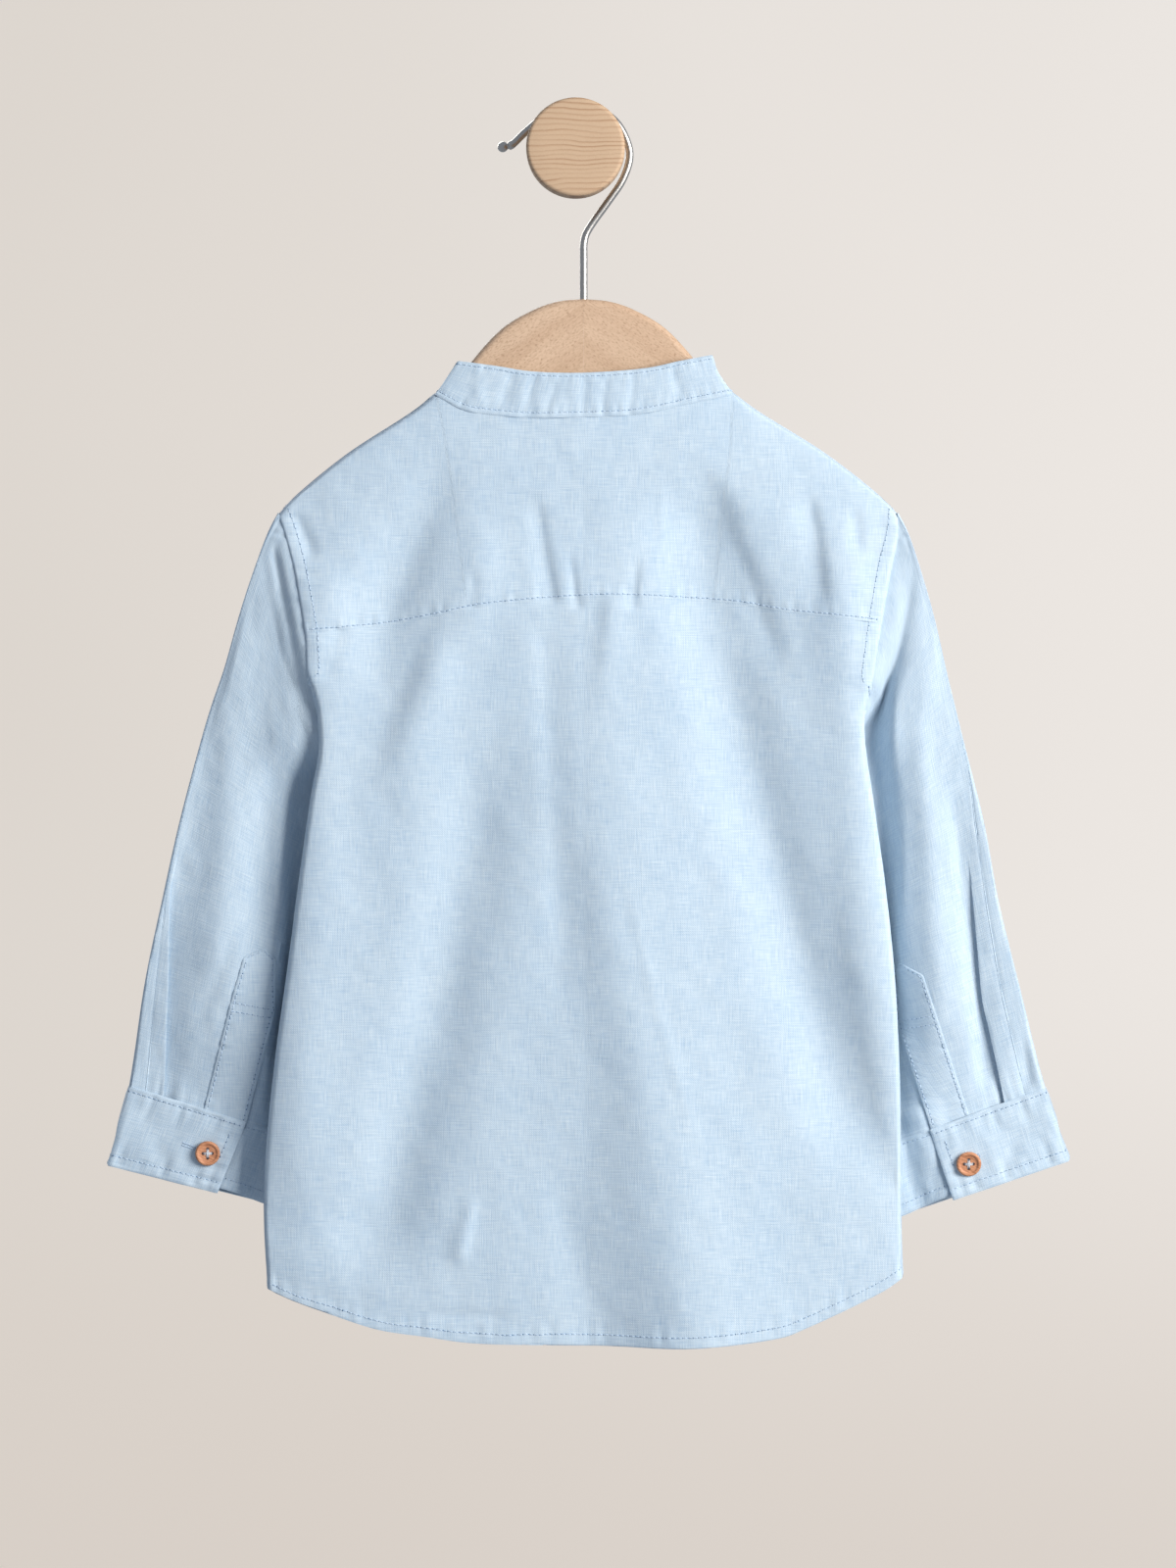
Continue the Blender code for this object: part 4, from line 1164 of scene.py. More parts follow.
@dataclass(frozen=True)
class Paper:
    """Pale matt studio paper with a painted glow: painted light, brighter to the right and darker towards its
    foot.
    """

    colour: Colour = (0.80, 0.75, 0.71)
    # Colours of the painted light at the left and at the right, and the darker one at the foot.
    dim: Colour = (0.404, 0.350, 0.279)
    bright: Colour = (0.555, 0.510, 0.455)
    foot: Colour = (0.385, 0.315, 0.238)
    spread: float = 2400.0

    def material(self) -> Material:
        """The paper's material.

        Returns:
            The material.
        """
        recipe = Recipe("studio_paper")
        cloud = recipe.noise(900.0, 900.0, 900.0)
        spread = recipe.scaled((self.spread,) * 3)
        across = recipe.part(spread, "X") + 0.5 + (cloud - 0.5) * 0.2
        low = 1.0 - recipe.part(spread, "Z").between(-0.62, -0.2)
        # Painted light: the paper's glow grows brighter to the right and darker towards its foot.
        painted_light = recipe.blend(across.between(-0.1, 1.1), self.dim, self.bright)
        return recipe.finish(
            Base_Color=recipe.blend(cloud, tuple(c * 0.97 for c in self.colour), self.colour),
            Roughness=0.95,
            Emission_Color=recipe.blend(low * 0.8, painted_light, self.foot),
            Emission_Strength=1.0,
        )


@dataclass(frozen=True)
class Finishes:
    """Every material of the shirt, its hanger and its peg."""

    chambray: Material = field(default_factory=Chambray().material)
    thread: Material = field(default_factory=Thread().material)
    # The needle holes' painted shade.
    hole: Material = field(default_factory=Thread().hole)
    button_thread: Material = field(default_factory=Thread("button_thread", (0.76, 0.82, 0.88)).material)
    button: Material = field(default_factory=ButtonWood().material)
    beech_left: Material = field(default_factory=Beech("beech_left", 36.0).material)
    beech_right: Material = field(default_factory=Beech("beech_right", -33.0).material)
    peg: Material = field(default_factory=PegWood().material)
    steel: Material = field(default_factory=SatinSteel().material)


@cache
def finishes() -> Finishes:
    """The shirt's materials."""
    return Finishes()


# --- the garment's forms


NECK_SEAM = spots(
    (-65, 111.3), (-51.6, 118.4), (-41.2, 120.5), (-19.5, 122.3), (17.6, 121.5), (33.1, 119.9),
    (48.6, 116.5), (73, 111.3),
)
# The wall side's neck seam, from the right fold round to the left one.
FRONT_NECK = spots(
    (73, 111.3), (62, 131), (49, 148), (30, 161), (CENTRE, 167), (-22, 161), (-41, 148), (-54, 131),
    (-65, 111.3),
)
SHOULDER_LEFT = spots(
    (-136.6, 166.6), (-126.6, 156.3), (-104.1, 138.3), (-76.2, 120.3), (-65, 111.3),
)
SHOULDER_RIGHT = spots((148, 166.6), (137.5, 156.3), (114.1, 138.3), (85.3, 120.3), (73, 111.3))
YOKE_SEAM = spots(
    (-122.6, 221.2), (-87.9, 217.9), (-60, 212.8), (-43.8, 209.4), (-11.4, 206.2), (17.8, 204.9),
    (50.7, 206.2), (75, 208), (94.8, 211.6), (119.1, 214.3), (138.6, 216.6),
)
# Armhole seams from the yoke seam's ends: up to the shoulder, and down to the underarm.
ARMHOLE_TOP = {
    Side.LEFT: spots(
        (-122.6, 221.2), (-126.2, 201.7), (-128.9, 189.1), (-132.9, 174.7), (-136.6, 166.6),
    ),
    Side.RIGHT: spots((138.6, 216.6), (142.9, 193.2), (146.3, 179.2), (148, 166.6)),
}
ARMHOLE_LOW = {
    Side.LEFT: spots((-122.6, 221.2), (-121.7, 235.5), (-120.6, 248), (-118.9, 261.5)),
    Side.RIGHT: spots((138.6, 216.6), (137, 227), (135, 240), (132.9, 261.5)),
}
# The wall side's armholes, from the shoulder to the underarm.
ARMHOLE_FRONT = {
    Side.LEFT: spots(
        (-136.6, 166.6), (-127, 184), (-120.5, 205), (-117.5, 228), (-117.4, 248), (-118.9, 261.5),
    ),
    Side.RIGHT: spots(
        (148, 166.6), (139.5, 184), (133.5, 205), (131, 228), (131.2, 248), (132.9, 261.5),
    ),
}
HEM = spots(
    (-142.2, 521.5), (-129.1, 527.5), (-112.7, 533.4), (-91.1, 540.6), (-69, 544.2), (-41.8, 547.8),
    (14.7, 549), (53.4, 549.6), (89.4, 546), (105.6, 541), (138.4, 525.7), (151, 517.5),
)
TORSO_EDGE = tuple(starmap(Edge, (
    (111.3, -65, 73), (120.3, -76.2, 85.3), (138.3, -104.1, 114.1), (156.3, -126.6, 137.5),
    (166.6, -136.6, 148), (183, -145.5, 156.4), (202, -141, 152.5), (220, -132.5, 147),
    (238, -125.5, 140), (250, -120.8, 134.8), (262, -118.4, 132.4), (278, -118.2, 133.2),
    (297, -121.7, 136.2), (335, -127.1, 142), (382, -133.4, 147), (421, -138.8, 149.4),
    (465, -143.3, 150.1), (494, -143.7, 150.3), (521, -142.2, 151),
)))


@dataclass
class TorsoForm:
    """How far the hanging torso's two sides stand off its middle plane."""

    edge_slack: float = 0.5
    fold_radius: float = 1.4
    back_fold: float = 9.0
    back_swell: float = 3.8
    swell_reach: float = 60.0
    front_radius: float = 2.4
    front_shoulder: float = 9.5
    front_side: float = 7.0
    front_depth: float = 13.0
    front_swell: Pair = (38.0, 35.0)
    front_settle: Pair = (190.0, 60.0)

    def __post_init__(self) -> None:
        """Smooth the outline."""
        self.outline = smooth_path(TORSO_EDGE, 6)

    def inward(self, x: Array, down: Array) -> Array:
        """How far places lie inside the outline; negative outside it.

        Args:
            x, down: The places.

        Returns:
            Distances from the nearer side.
        """
        nearest = []
        for column, sign in ((1, 1.0), (2, -1.0)):
            levels = (down, down + 2.0, down - 2.0)
            here, below, above = (np.interp(level, *self.outline[:, (0, column)].T) for level in levels)
            nearest.append(sign * (x - here) / np.hypot(1.0, (below - above) / 4.0))
        return np.minimum(*nearest)

    def edge_distance(self, x: Array, down: Array) -> Array:
        """Distance of places from the side folds; 0 along the fold itself."""
        return np.maximum(self.inward(x, down) - self.edge_slack, 0.0)

    def y(self, x: Array, down: Array, facing: Facing) -> Array:
        """Y of one side of the smooth torso at places."""
        return self.profile(self.edge_distance(x, down), down, facing)

    def profile(self, distance: Array, down: Array, facing: Facing) -> Array:
        """Y of one side at distances from the side folds.

        Args:
            distance: The distances.
            down: How far down each place is.
            facing: The side.

        Returns:
            Y at each place.
        """
        if facing is Facing.VIEW:
            depth = self.back_fold * rounding(distance, self.fold_radius)
            return MIDDLE_Y - depth - self.back_swell * rounding(distance, self.swell_reach)
        settled = ease((down - self.front_settle[0]) / self.front_settle[1])
        fold = mix(self.front_shoulder, self.front_side, settled)
        depth = fold * rounding(distance, self.front_radius)
        swell = ease((distance - self.front_swell[0]) / self.front_swell[1])
        return MIDDLE_Y + depth + (self.front_depth - fold) * swell

    def patch(self, places: Array, facing: Facing) -> Patch:
        """Patch of a grid of places on one side."""
        x, down = places[..., 0], places[..., 1]
        return Patch(np.stack((x, self.y(x, down, facing), -down), axis=-1), facing)

    def relief(self, x: Array, down: Array, facing: Facing) -> Array:
        """Height of one side's creases at places; none at the folds."""
        creases = (*BACK_CREASES, *YOKE_CREASES) if facing is Facing.VIEW else FRONT_CREASES
        return Relief(creases, TORSO_CRUMPLES).at(x, down) * ease(self.edge_distance(x, down) / 2.4)


def armhole_side(armhole: Sequence[Spot], side: Side, lap: float) -> Line:
    """A torso panel's outer boundary, from its armhole past the underarm to the hem.

    Args:
        armhole: The seam's spots, down to the underarm.
        side: The panel's side.
        lap: How far the panel reaches over the sleeve along the armhole.

    Returns:
        The boundary from top to bottom.
    """
    underarm = armhole[-1]
    column = 1 if side is Side.LEFT else 2
    border = [Spot(s.x + side.value * lap, s.down) for s in armhole[:-1]]
    border.append(Spot(underarm.x - side.value * 0.6, underarm.down + 0.6))
    foot = HEM[0] if side is Side.LEFT else HEM[-1]
    below = (edge for edge in TORSO_EDGE if underarm.down + 8.0 < edge.down < foot.down)
    return Line.through([*border, *(Spot(edge[column], edge.down) for edge in below), foot])


@dataclass
class SleeveForm:
    """One sleeve's flat outline, and the height of its two layers."""

    side: Side
    rows: tuple[SleeveRow, ...]
    torso: TorsoForm
    crest: Pair
    shelf_y: Pair
    under_y: Pair
    tuck: Pair
    leave: Pair
    leaves: tuple[Pair, ...] = ((0, 29), (0.25, 60), (0.5, 80), (0.8, 70), (1, -30))
    outer_y: float = -14.0
    outer_settle: float = 110.0
    wall_y: Pair = (-14.0, -3.4)
    swell: float = 11.0
    gather: Triple = (345.0, 88.0, 0.45)
    edge_radius: float = 1.1
    inner_radius: float = 5.0
    dive: Pair = (15.0, 4.5)
    head_pace: float = 0.33
    head_reach: float = 75.0

    def __post_init__(self) -> None:
        """Smooth the table of rows and join the armhole's seams."""
        self.table = smooth_path(self.rows, 6)
        self.start, self.end = self.rows[0].outer_down, self.rows[-1].outer_down
        self.seams = {
            Facing.VIEW: Line.through(ARMHOLE_TOP[self.side][::-1], ARMHOLE_LOW[self.side]),
            Facing.WALL: Line.through(ARMHOLE_FRONT[self.side]),
        }

    def flat(self, down: Array, c: Array) -> Array:
        """Places between the two folds.

        Args:
            down: How far down the outer fold each row starts.
            c: Fractions of the way to the inner fold.

        Returns:
            The places.
        """
        start, *columns = self.table.T
        outer_x, inner_x, inner_down = (np.interp(down, start, column) for column in columns)
        return np.stack((mix(outer_x, inner_x, c), mix(down, inner_down, c)), axis=-1)

    def width(self, down: Array) -> Array:
        """Flat width of the sleeve."""
        span = self.flat(down, np.ones_like(down)) - self.flat(down, np.zeros_like(down))
        return np.hypot(span[..., 0], span[..., 1])

    def layer(self, down: Array, c: Array, facing: Facing) -> Array:
        """Y of one layer away from the armhole.

        Args:
            down: How far down the outer fold each row starts.
            c: Fractions of the way to the inner fold.
            facing: The layer.

        Returns:
            Y at each place.
        """
        place = self.flat(down, c)
        tucked = ease((place[..., 1] - self.tuck[0]) / self.tuck[1])
        under, shelf = mix(*self.under_y, tucked), mix(*self.shelf_y, tucked)
        wall = mix(*self.wall_y, ease((down - self.start) / mix(70.0, 22.0, c)))
        outer = mix(MIDDLE_Y, self.outer_y, ease((down - self.start) / self.outer_settle))
        inner, width = (under + wall) / 2.0, self.width(down)
        if facing is Facing.WALL:
            y = mix(outer, wall, rounding(c * width, self.edge_radius))
        else:
            swell = self.swell * mix(1.0, self.gather[2], ease((down - self.gather[0]) / self.gather[1]))
            top = outer - swell * rounding(c * width, self.edge_radius)
            y = mix(top, shelf, ease((c - self.crest[0]) / self.crest[1]))
            dive = mix(*self.dive, ease((place[..., 1] - 290.0) / 90.0))
            behind = ease(self.torso.inward(place[..., 0], place[..., 1]) / dive + 1.0)
            y = mix(y, under, behind * ease(c / 0.3))
        radius = mix(1.2, self.inner_radius, ease((place[..., 1] - 275.0) / 40.0))
        return mix(inner, y, rounding((1.0 - c) * width, radius))

    def points(self, down: Array, c: Array, facing: Facing) -> tuple[Array, Array]:
        """Points of one layer.

        Args:
            down: How far down the outer fold each row starts.
            c: Fractions of the way to the inner fold.
            facing: The layer.

        Returns:
            The points, and their distance from the armhole seam.
        """
        origin = self.seams[facing].at(c)
        run = down - self.start
        angle = np.radians(np.interp(c, *np.array(self.leaves).T))
        heading = np.stack((self.side.value * np.sin(angle), np.cos(angle)), axis=-1)
        leaving = origin + heading * (self.head_pace * run)[..., None]
        place = mix(leaving, self.flat(down, c), ease(run / self.head_reach)[..., None])
        travel = np.hypot(*np.moveaxis(origin - place, -1, 0))
        reach = mix(*self.leave, ease((c - 0.5) / 0.5))
        seam = np.moveaxis(origin, -1, 0)
        hold = rounding(np.minimum(c, 1.0 - c) * self.seams[facing].length, 2.0)
        distance = np.maximum(self.torso.edge_distance(*seam), 2.5) * hold
        height = self.torso.profile(distance, seam[1], facing) + facing.value * self.torso.relief(*seam, facing)
        y = mix(height, self.layer(down, c, facing), ease(travel / reach))
        return np.stack((place[..., 0], y, -place[..., 1]), axis=-1), travel


@dataclass
class CuffForm:
    """A flattened cuff's corners, and its layers where its ends lap."""

    side: Side
    seam: tuple[Spot, Spot]
    hem: tuple[Spot, Spot]
    lap: Pair
    button: Spot
    view_y: float = -18.0
    fold_y: float = -9.0
    wall_y: float = -4.2
    under_y: float = -12.3
    overlap: float = 0.24
    step: float = 1.0
    fold_radius: float = 1.8

    def lap_at(self, rise: Array) -> Array:
        """Where the lapped end lies across the cuff; rise is 0 at the seam and 1 at the edge."""
        return mix(self.lap[0], self.lap[1], rise)

    def resting(self, c: Array, rise: Array, facing: Facing) -> Array:
        """Y of one layer, without the lap's own step.

        Args:
            c: Fractions of the way across the cuff.
            rise: Fractions of the way to its edge.
            facing: The layer.

        Returns:
            Y at each place.
        """
        lap = self.lap_at(rise)
        layer = np.full_like(c, self.wall_y)
        if facing is Facing.VIEW:
            layer = mix(self.view_y, self.under_y, ease((c - lap - 0.02) / 0.16))
        width = math.hypot(self.seam[1].x - self.seam[0].x, self.seam[1].down - self.seam[0].down)
        return mix(self.fold_y, layer, rounding(np.minimum(c, 1.0 - c) * width, self.fold_radius))

    def lapped(self, c: Array, rise: Array) -> Array:
        """1 where the two ends lie on each other, 0 away from there."""
        lap = self.lap_at(rise)
        return ease((c - lap + self.overlap + 0.12) / 0.12) * ease((lap + 0.12 - c) / 0.12)

    def place(self, c: Array, rise: Array) -> Array:
        """Place on the flattened cuff.

        Args:
            c: Fractions of the way across.
            rise: Fractions of the way to the edge.

        Returns:
            The places.
        """
        outer = mix(np.array(self.seam[0]), np.array(self.hem[0]), rise[..., None])
        inner = mix(np.array(self.seam[1]), np.array(self.hem[1]), rise[..., None])
        return mix(outer, inner, c[..., None])


# --- seams


@dataclass(frozen=True)
class SeamEdge:
    """A piece's edge that lies over its neighbour, with its allowance turned under and stitched."""

    seed: int
    lift: float = 0.4
    fade: float = 9.0
    allowance: float = 0.26
    row: float = ARMHOLE_ROW
    lip: float = 0.3
    pucker: float = 0.2
    groove: float = 0.2

    def relief(self, distance: Array, along: Array) -> Array:
        """Height over the cloth, from the distance to the edge and the place along it.

        Args:
            distance: Distances from the edge.
            along: Places along it.

        Returns:
            Heights there.
        """
        lift = self.lift * (1.0 - ease(distance / self.fade))
        band = self.allowance * (1.0 - ease((distance - self.row - 0.3) / 1.8))
        lip = self.lip * (1.0 - rounding(distance, 0.9))
        groove = self.groove * bell(distance - self.row, 0.8)
        waves = Puckers(self.seed, height=self.pucker, reach=4.5).relief(along, distance - self.row)
        return lift + band - lip - groove + waves * ease(distance / 2.0)


@dataclass(frozen=True)
class Cut:
    """A piece's cut as it lies flat, in millimetres."""

    width: float
    length: float

    def declare(
        self,
        piece: Object,
        patches: Sequence[Patch],
        rests_on: Sequence[str],
        rows: Stitches | None = None,
        held: str = "hung",
    ) -> None:
        """Make the mesh of any stitches sewn on a piece of this cut; its flat size and area are worked out but
        not used.

        Args:
            piece: The piece.
            patches: Its surfaces.
            rests_on: What carries it; not used.
            rows: The stitches that are made on it.
            held: How it is held; not used.
        """
        flat = (self.width * MM, self.length * MM)
        area = sum(patch.area for patch in patches)
        sewn = [rows.make(piece.name.replace("Cloth", "Stitches"))] if rows else []


def keep(piece: Object, slot: str, *nodes: str) -> Object:
    """Tie a piece to the shirt's one body, in place of plain CAD nodes, which it hides.

    Args:
        piece: The piece.
        slot: Its material in the CAD model; not used.
        nodes: The nodes in whose place it stands.

    Returns:
        The piece.
    """
    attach(piece, BODY)
    if nodes:
        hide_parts(*nodes)
    LOG.info("%s: %d faces", piece.name, len(piece.data.polygons))
    return piece


# --- torso pieces


# Creases that hang from the shoulder blades and the yoke down the back.
BACK_CREASES = (
    Crease((4, 215), (59, 575), (20, 33), (1.2, 8.5), -4, 0.2, (0.25, 0.02)),
    Crease((47, 145), (137, 484), (18, 16), (-5.9, -5.4), -4.5, -0.1, (0.1, 0.15)),
    Crease((-36, 226), (-101, 525), (16, 19), (-4, -6.2), 9, 0, (0.3, 0.12)),
    Crease((-116, 180), (-132, 500), (15, 19), (4.1, 3.7), 2, 0, (0.1, 0.2)),
    Crease((120, 160), (148, 456), (18, 15), (6, 3.6), -2, 0, (0.15, 0.3)),
    Crease((-58, 214), (-86, 310), (10, 13), (2.2, 2.2), 0, 0, (0.3, 0.5)),
    Crease((-14, 440), (10, 556), (10, 13), (-1, -1.8), 0, 0, (0.4, 0.02)),
    Crease((-60, 192), (-100, 296), (10, 12), (-2.1, -1.5), 0, -0.3, (0.4, 0.5)),
    Crease((17.5, 200), (11, 268), (7, 9), (1.6, 0.9), 0, 0.4, (0.16, 0.6)),
    Crease((-15, 212), (-4, 400), (6, 9), (-0.7, -1.1), 0, 0.2, (0.1, 0.3)),
    Crease((112, 320), (148, 488), (8, 7), (-0.5, -1.2), -3, -0.2, (0.3, 0.1)),
    Crease((-108.2, 218), (-115, 252), (4, 5), (-1, -0.6), 0, 0, (0.1, 0.4)),
    Crease((-46, 478), (-54, 514), (3, 4), (1.1, 1.5), 0, -0.35, (0.3, 0.25)),
    Crease((20, 316), (62, 474), (2.4, 3.2), (0.3, 0.3), -3, 0, (0.3, 0.3)),
    Crease((-75.8, 534.7), (-25.4, 535.6), (2.5, 2.5), (-0.7, -0.7), 0, 0, (0.3, 0.3)),
    Crease((3.4, 208), (5.2, 550), (1.4, 1.4), (-0.12, -0.1), 0, 0, (0.02, 0.02)),
)
YOKE_CREASES = (
    Crease((54, 140), (97, 252), (9, 10), (-1.9, -2.3), 2, -0.3, (0.3, 0.3)),
    Crease((-54, 134), (-100, 258), (14, 14), (-3.9, -4.6), -3, -0.2, (0.45, 0.4)),
    Crease((-40, 166), (-52, 240), (10, 12), (1.8, 1.8), 0, 0, (0.4, 0.5)),
    Crease((-19, 154), (-10, 212), (4, 4.6), (-0.9, -1.5), 0, -0.3, (0.3, 0.15)),
    Crease((-3, 182), (1, 212), (2, 2.4), (-0.6, -1), 0, 0, (0.4, 0.1)),
    Crease((29, 184), (26, 212), (2.2, 2.8), (-0.4, -1.1), 0, -0.2, (0.4, 0.1)),
    Crease((-46, 190), (-47, 212), (2.4, 3), (-0.3, -0.8), 0, -0.2, (0.4, 0.1)),
    Crease((40, 150), (39, 190), (2, 3), (0.4, 0.3), 0, 0, (0.4, 0.4)),
    Crease((106, 154), (113, 214), (5, 5.6), (-1.5, -1.7), 1, -0.3, (0.25, 0.25)),
    Crease((128, 162), (130, 188), (3.4, 3.8), (-0.7, -1), 0, -0.2, (0.3, 0.3)),
    Crease((-129, 166), (-119, 190), (2.8, 3.2), (-0.9, -1), 0, 0, (0.3, 0.3)),
    Crease((3.4, 124), (3.4, 205), (1.3, 1.3), (-0.1, -0.1), 0, 0, (0.05, 0.02)),
)
# The same kinds of creases on the side by the wall, where the fronts hang.
FRONT_CREASES = (
    Crease((-58, 190), (-92, 300), (6, 8), (-2.6, -1.8), 1.5, 0.1, (0.1, 0.4)),
    Crease((64, 188), (98, 296), (6, 8), (-2.8, -1.6), -1.5, -0.1, (0.1, 0.4)),
    Crease((-44, 240), (-70, 548), (9, 17), (-2.2, -3), 3, 0, (0.25, 0.1)),
    Crease((60, 260), (82, 550), (8, 16), (-2, -3), -3, 0, (0.3, 0.1)),
    Crease((-104, 310), (-112, 520), (9, 12), (-1.6, -1.8), 2, 0, (0.3, 0.2)),
    Crease((116, 300), (124, 510), (8, 12), (-1.6, -1.6), -2, 0, (0.3, 0.2)),
    Crease((36, 230), (40, 540), (9, 14), (1.4, 1.8), 1, 0, (0.3, 0.2)),
    Crease((-26, 260), (-34, 540), (8, 12), (1.2, 1.6), -1, 0, (0.3, 0.2)),
)
TORSO_CRUMPLES = (Crumple(3, 32.0, 0.1), Crumple(5, 13.0, 0.05), Crumple(8, 6.0, 0.03, 1.2))
HEM_BAND = SeamEdge(21, lift=0.0, allowance=0.28, row=5.0, lip=0.3, pucker=0.22)


def end_taper(patch: Patch) -> Array:
    """1 away from a panel's side edges and 0 on them, so that the panels meet there."""
    return ease(patch.reach(1) / 3.0) * ease(patch.reach(1, True) / 3.0)


def armhole_relief(patch: Patch, seed: int, from_end: bool) -> Array:
    """Height of a panel's seamed armhole edge, which ends at the underarm."""
    edge = SeamEdge(seed).relief(patch.reach(1, from_end), patch.down)
    return edge * (1.0 - ease((patch.down - ARMHOLE_FADE[0]) / ARMHOLE_FADE[1]))


def stitch_armhole(rows: Stitches, patch: Patch, face: float, from_end: bool) -> None:
    """Stitch along a panel's armhole edge; face is the height of the cloth's face over the patch."""
    above = patch.down[:, 0] < ARMHOLE_END
    rows.follow(*(part[above] for part in patch.trace(1, ARMHOLE_ROW, face, from_end)))


@dataclass
class Back:
    """The back panel, from the yoke seam to the curved hem."""

    torso: TorsoForm
    cut: Cut = Cut(300.0, 348.0)
    thickness: float = 0.5
    pitch: float = 1.9
    lap: float = 0.7

    def shape(self) -> Patch:
        """The panel's surface.

        Returns:
            The panel's patch.
        """
        left = armhole_side(ARMHOLE_LOW[Side.LEFT], Side.LEFT, self.lap)
        right = armhole_side(ARMHOLE_LOW[Side.RIGHT], Side.RIGHT, self.lap)
        top = Line.through([left.at(0.0), *YOKE_SEAM[1:-1], right.at(0.0)])
        across, downward = graded(292.0, self.pitch), graded(330.0, self.pitch)
        grid = coons(top, Line.through(HEM), left, right, across, downward)
        patch = self.torso.patch(grid, Facing.VIEW)
        height = self.torso.relief(patch.x, patch.down, patch.facing)
        height += HEM_BAND.relief(patch.reach(0, True), patch.x) * end_taper(patch)
        for seed, from_end in ((31, False), (32, True)):
            height += armhole_relief(patch, seed, from_end)
        patch.raise_by(height)
        return patch

    def build(self) -> None:
        """Make and dress the panel.

        """
        patch = self.shape()
        piece = cloth_object("back_panel", [patch], self.thickness)
        rows, face = Stitches(), self.thickness / 2.0
        rows.follow(*patch.trace(0, HEM_BAND.row, face, True))
        for from_end in (False, True):
            stitch_armhole(rows, patch, face, from_end)
        self.cut.declare(piece, [patch], ["back_yoke"], rows)


@dataclass
class Yoke:
    """The yoke, in one piece over both shoulders to the fronts' seams."""

    torso: TorsoForm
    cut: Cut = Cut(300.0, 128.0)
    thickness: float = 0.5
    pitch: float = 1.6
    lap: float = 0.7
    overhang: float = 0.8

    def ridge(self) -> tuple[Line, Pair]:
        """The line over the shoulders and round the back of the neck, and its shares at the neck.

        Returns:
            The line, and the shares at the neck's left and right end.
        """
        line = Line.through(SHOULDER_LEFT, NECK_SEAM, SHOULDER_RIGHT[::-1])
        ends = (Line.through(SHOULDER_LEFT).length, line.length - Line.through(SHOULDER_RIGHT).length)
        return line, (ends[0] / line.length, ends[1] / line.length)

    def columns(self) -> tuple[Array, int, int]:
        """Shares along the ridge, and the numbers of those at the neck's two ends.

        Returns:
            The shares, and the two numbers.
        """
        line, (low, high) = self.ridge()
        left = graded(low * line.length, self.pitch, end=False) * low
        right = 1.0 - graded((1.0 - high) * line.length, self.pitch, end=False)[::-1] * (1.0 - high)
        middle = np.linspace(low, high, int((high - low) * line.length / self.pitch))
        return np.concatenate((left, middle[1:-1], right)), len(left) - 1, len(left) + len(middle) - 2

    def behind(self) -> Patch:
        """The surface on the back.

        Returns:
            The patch.
        """
        line, _ = self.ridge()
        columns, _, _ = self.columns()
        sides = []
        for side in Side:
            border = [Spot(s.x + side.value * self.lap, s.down) for s in ARMHOLE_TOP[side]]
            border[-1] = ARMHOLE_TOP[side][-1]
            border[0] = Spot(border[0].x, border[0].down + self.overhang)
            sides.append(Line.through(border[::-1]))
        seam = [Spot(s.x, s.down + self.overhang) for s in YOKE_SEAM[1:-1]]
        seam = Line.through([sides[0].at(1.0), *seam, sides[1].at(1.0)])
        patch = self.torso.patch(coons(line, seam, *sides, columns, graded(80.0, self.pitch)), Facing.VIEW)
        height = self.torso.relief(patch.x, patch.down, patch.facing)
        seam_edge = SeamEdge(41, lift=0.12, allowance=0.0, row=YOKE_ROW, lip=0.08, groove=0.06, pucker=0.15)
        height += seam_edge.relief(patch.reach(0, True), patch.x)
        away = ease(self.torso.edge_distance(patch.x, patch.down) / 4.0)
        for seed, from_end in ((42, False), (43, True)):
            height += SeamEdge(seed).relief(patch.reach(1, from_end), patch.down) * away
        patch.raise_by(height)
        return patch

    def strap(self, side: Side) -> Patch:
        """The part that runs over one shoulder to the front's seam.

        Args:
            side: The shoulder.

        Returns:
            The patch.
        """
        line, _ = self.ridge()
        columns, low, high = self.columns()
        shares = columns[: low + 1] if side is Side.LEFT else columns[high:]
        ridge = line.at(shares)
        neck = Spot(*FRONT_NECK[-2] if side is Side.LEFT else FRONT_NECK[1])
        seam = (ARMHOLE_FRONT[side][1], neck) if side is Side.LEFT else (neck, ARMHOLE_FRONT[side][1])
        shares = (shares - shares[0]) / (shares[-1] - shares[0])
        front = mix(np.array(seam[0]), np.array(seam[1]), shares[:, None])
        downward = graded(26.0, self.pitch, start=False)[:, None, None]
        patch = self.torso.patch(mix(ridge[None], front[None], downward), Facing.WALL)
        height = Relief((), TORSO_CRUMPLES).at(patch.x, patch.down)
        height += SeamEdge(44, lift=0.6, row=YOKE_ROW).relief(patch.reach(0, True), patch.x)
        patch.raise_by(height * ease(self.torso.edge_distance(patch.x, patch.down) / 4.0))
        return patch

    def build(self) -> None:
        """Make and dress the yoke.

        """
        patches = [self.behind(), self.strap(Side.LEFT), self.strap(Side.RIGHT)]
        piece = cloth_object("back_yoke", patches, self.thickness, weld=True)
        rows, face = Stitches(), self.thickness / 2.0
        rows.follow(*patches[0].trace(0, YOKE_ROW, face, True))
        for from_end in (False, True):
            rows.follow(*patches[0].trace(1, ARMHOLE_ROW, face, from_end))
        for strap in patches[1:]:
            rows.follow(*strap.trace(0, YOKE_ROW, face, True))
        self.cut.declare(piece, patches, ["hanger_left", "hanger_right"], rows)


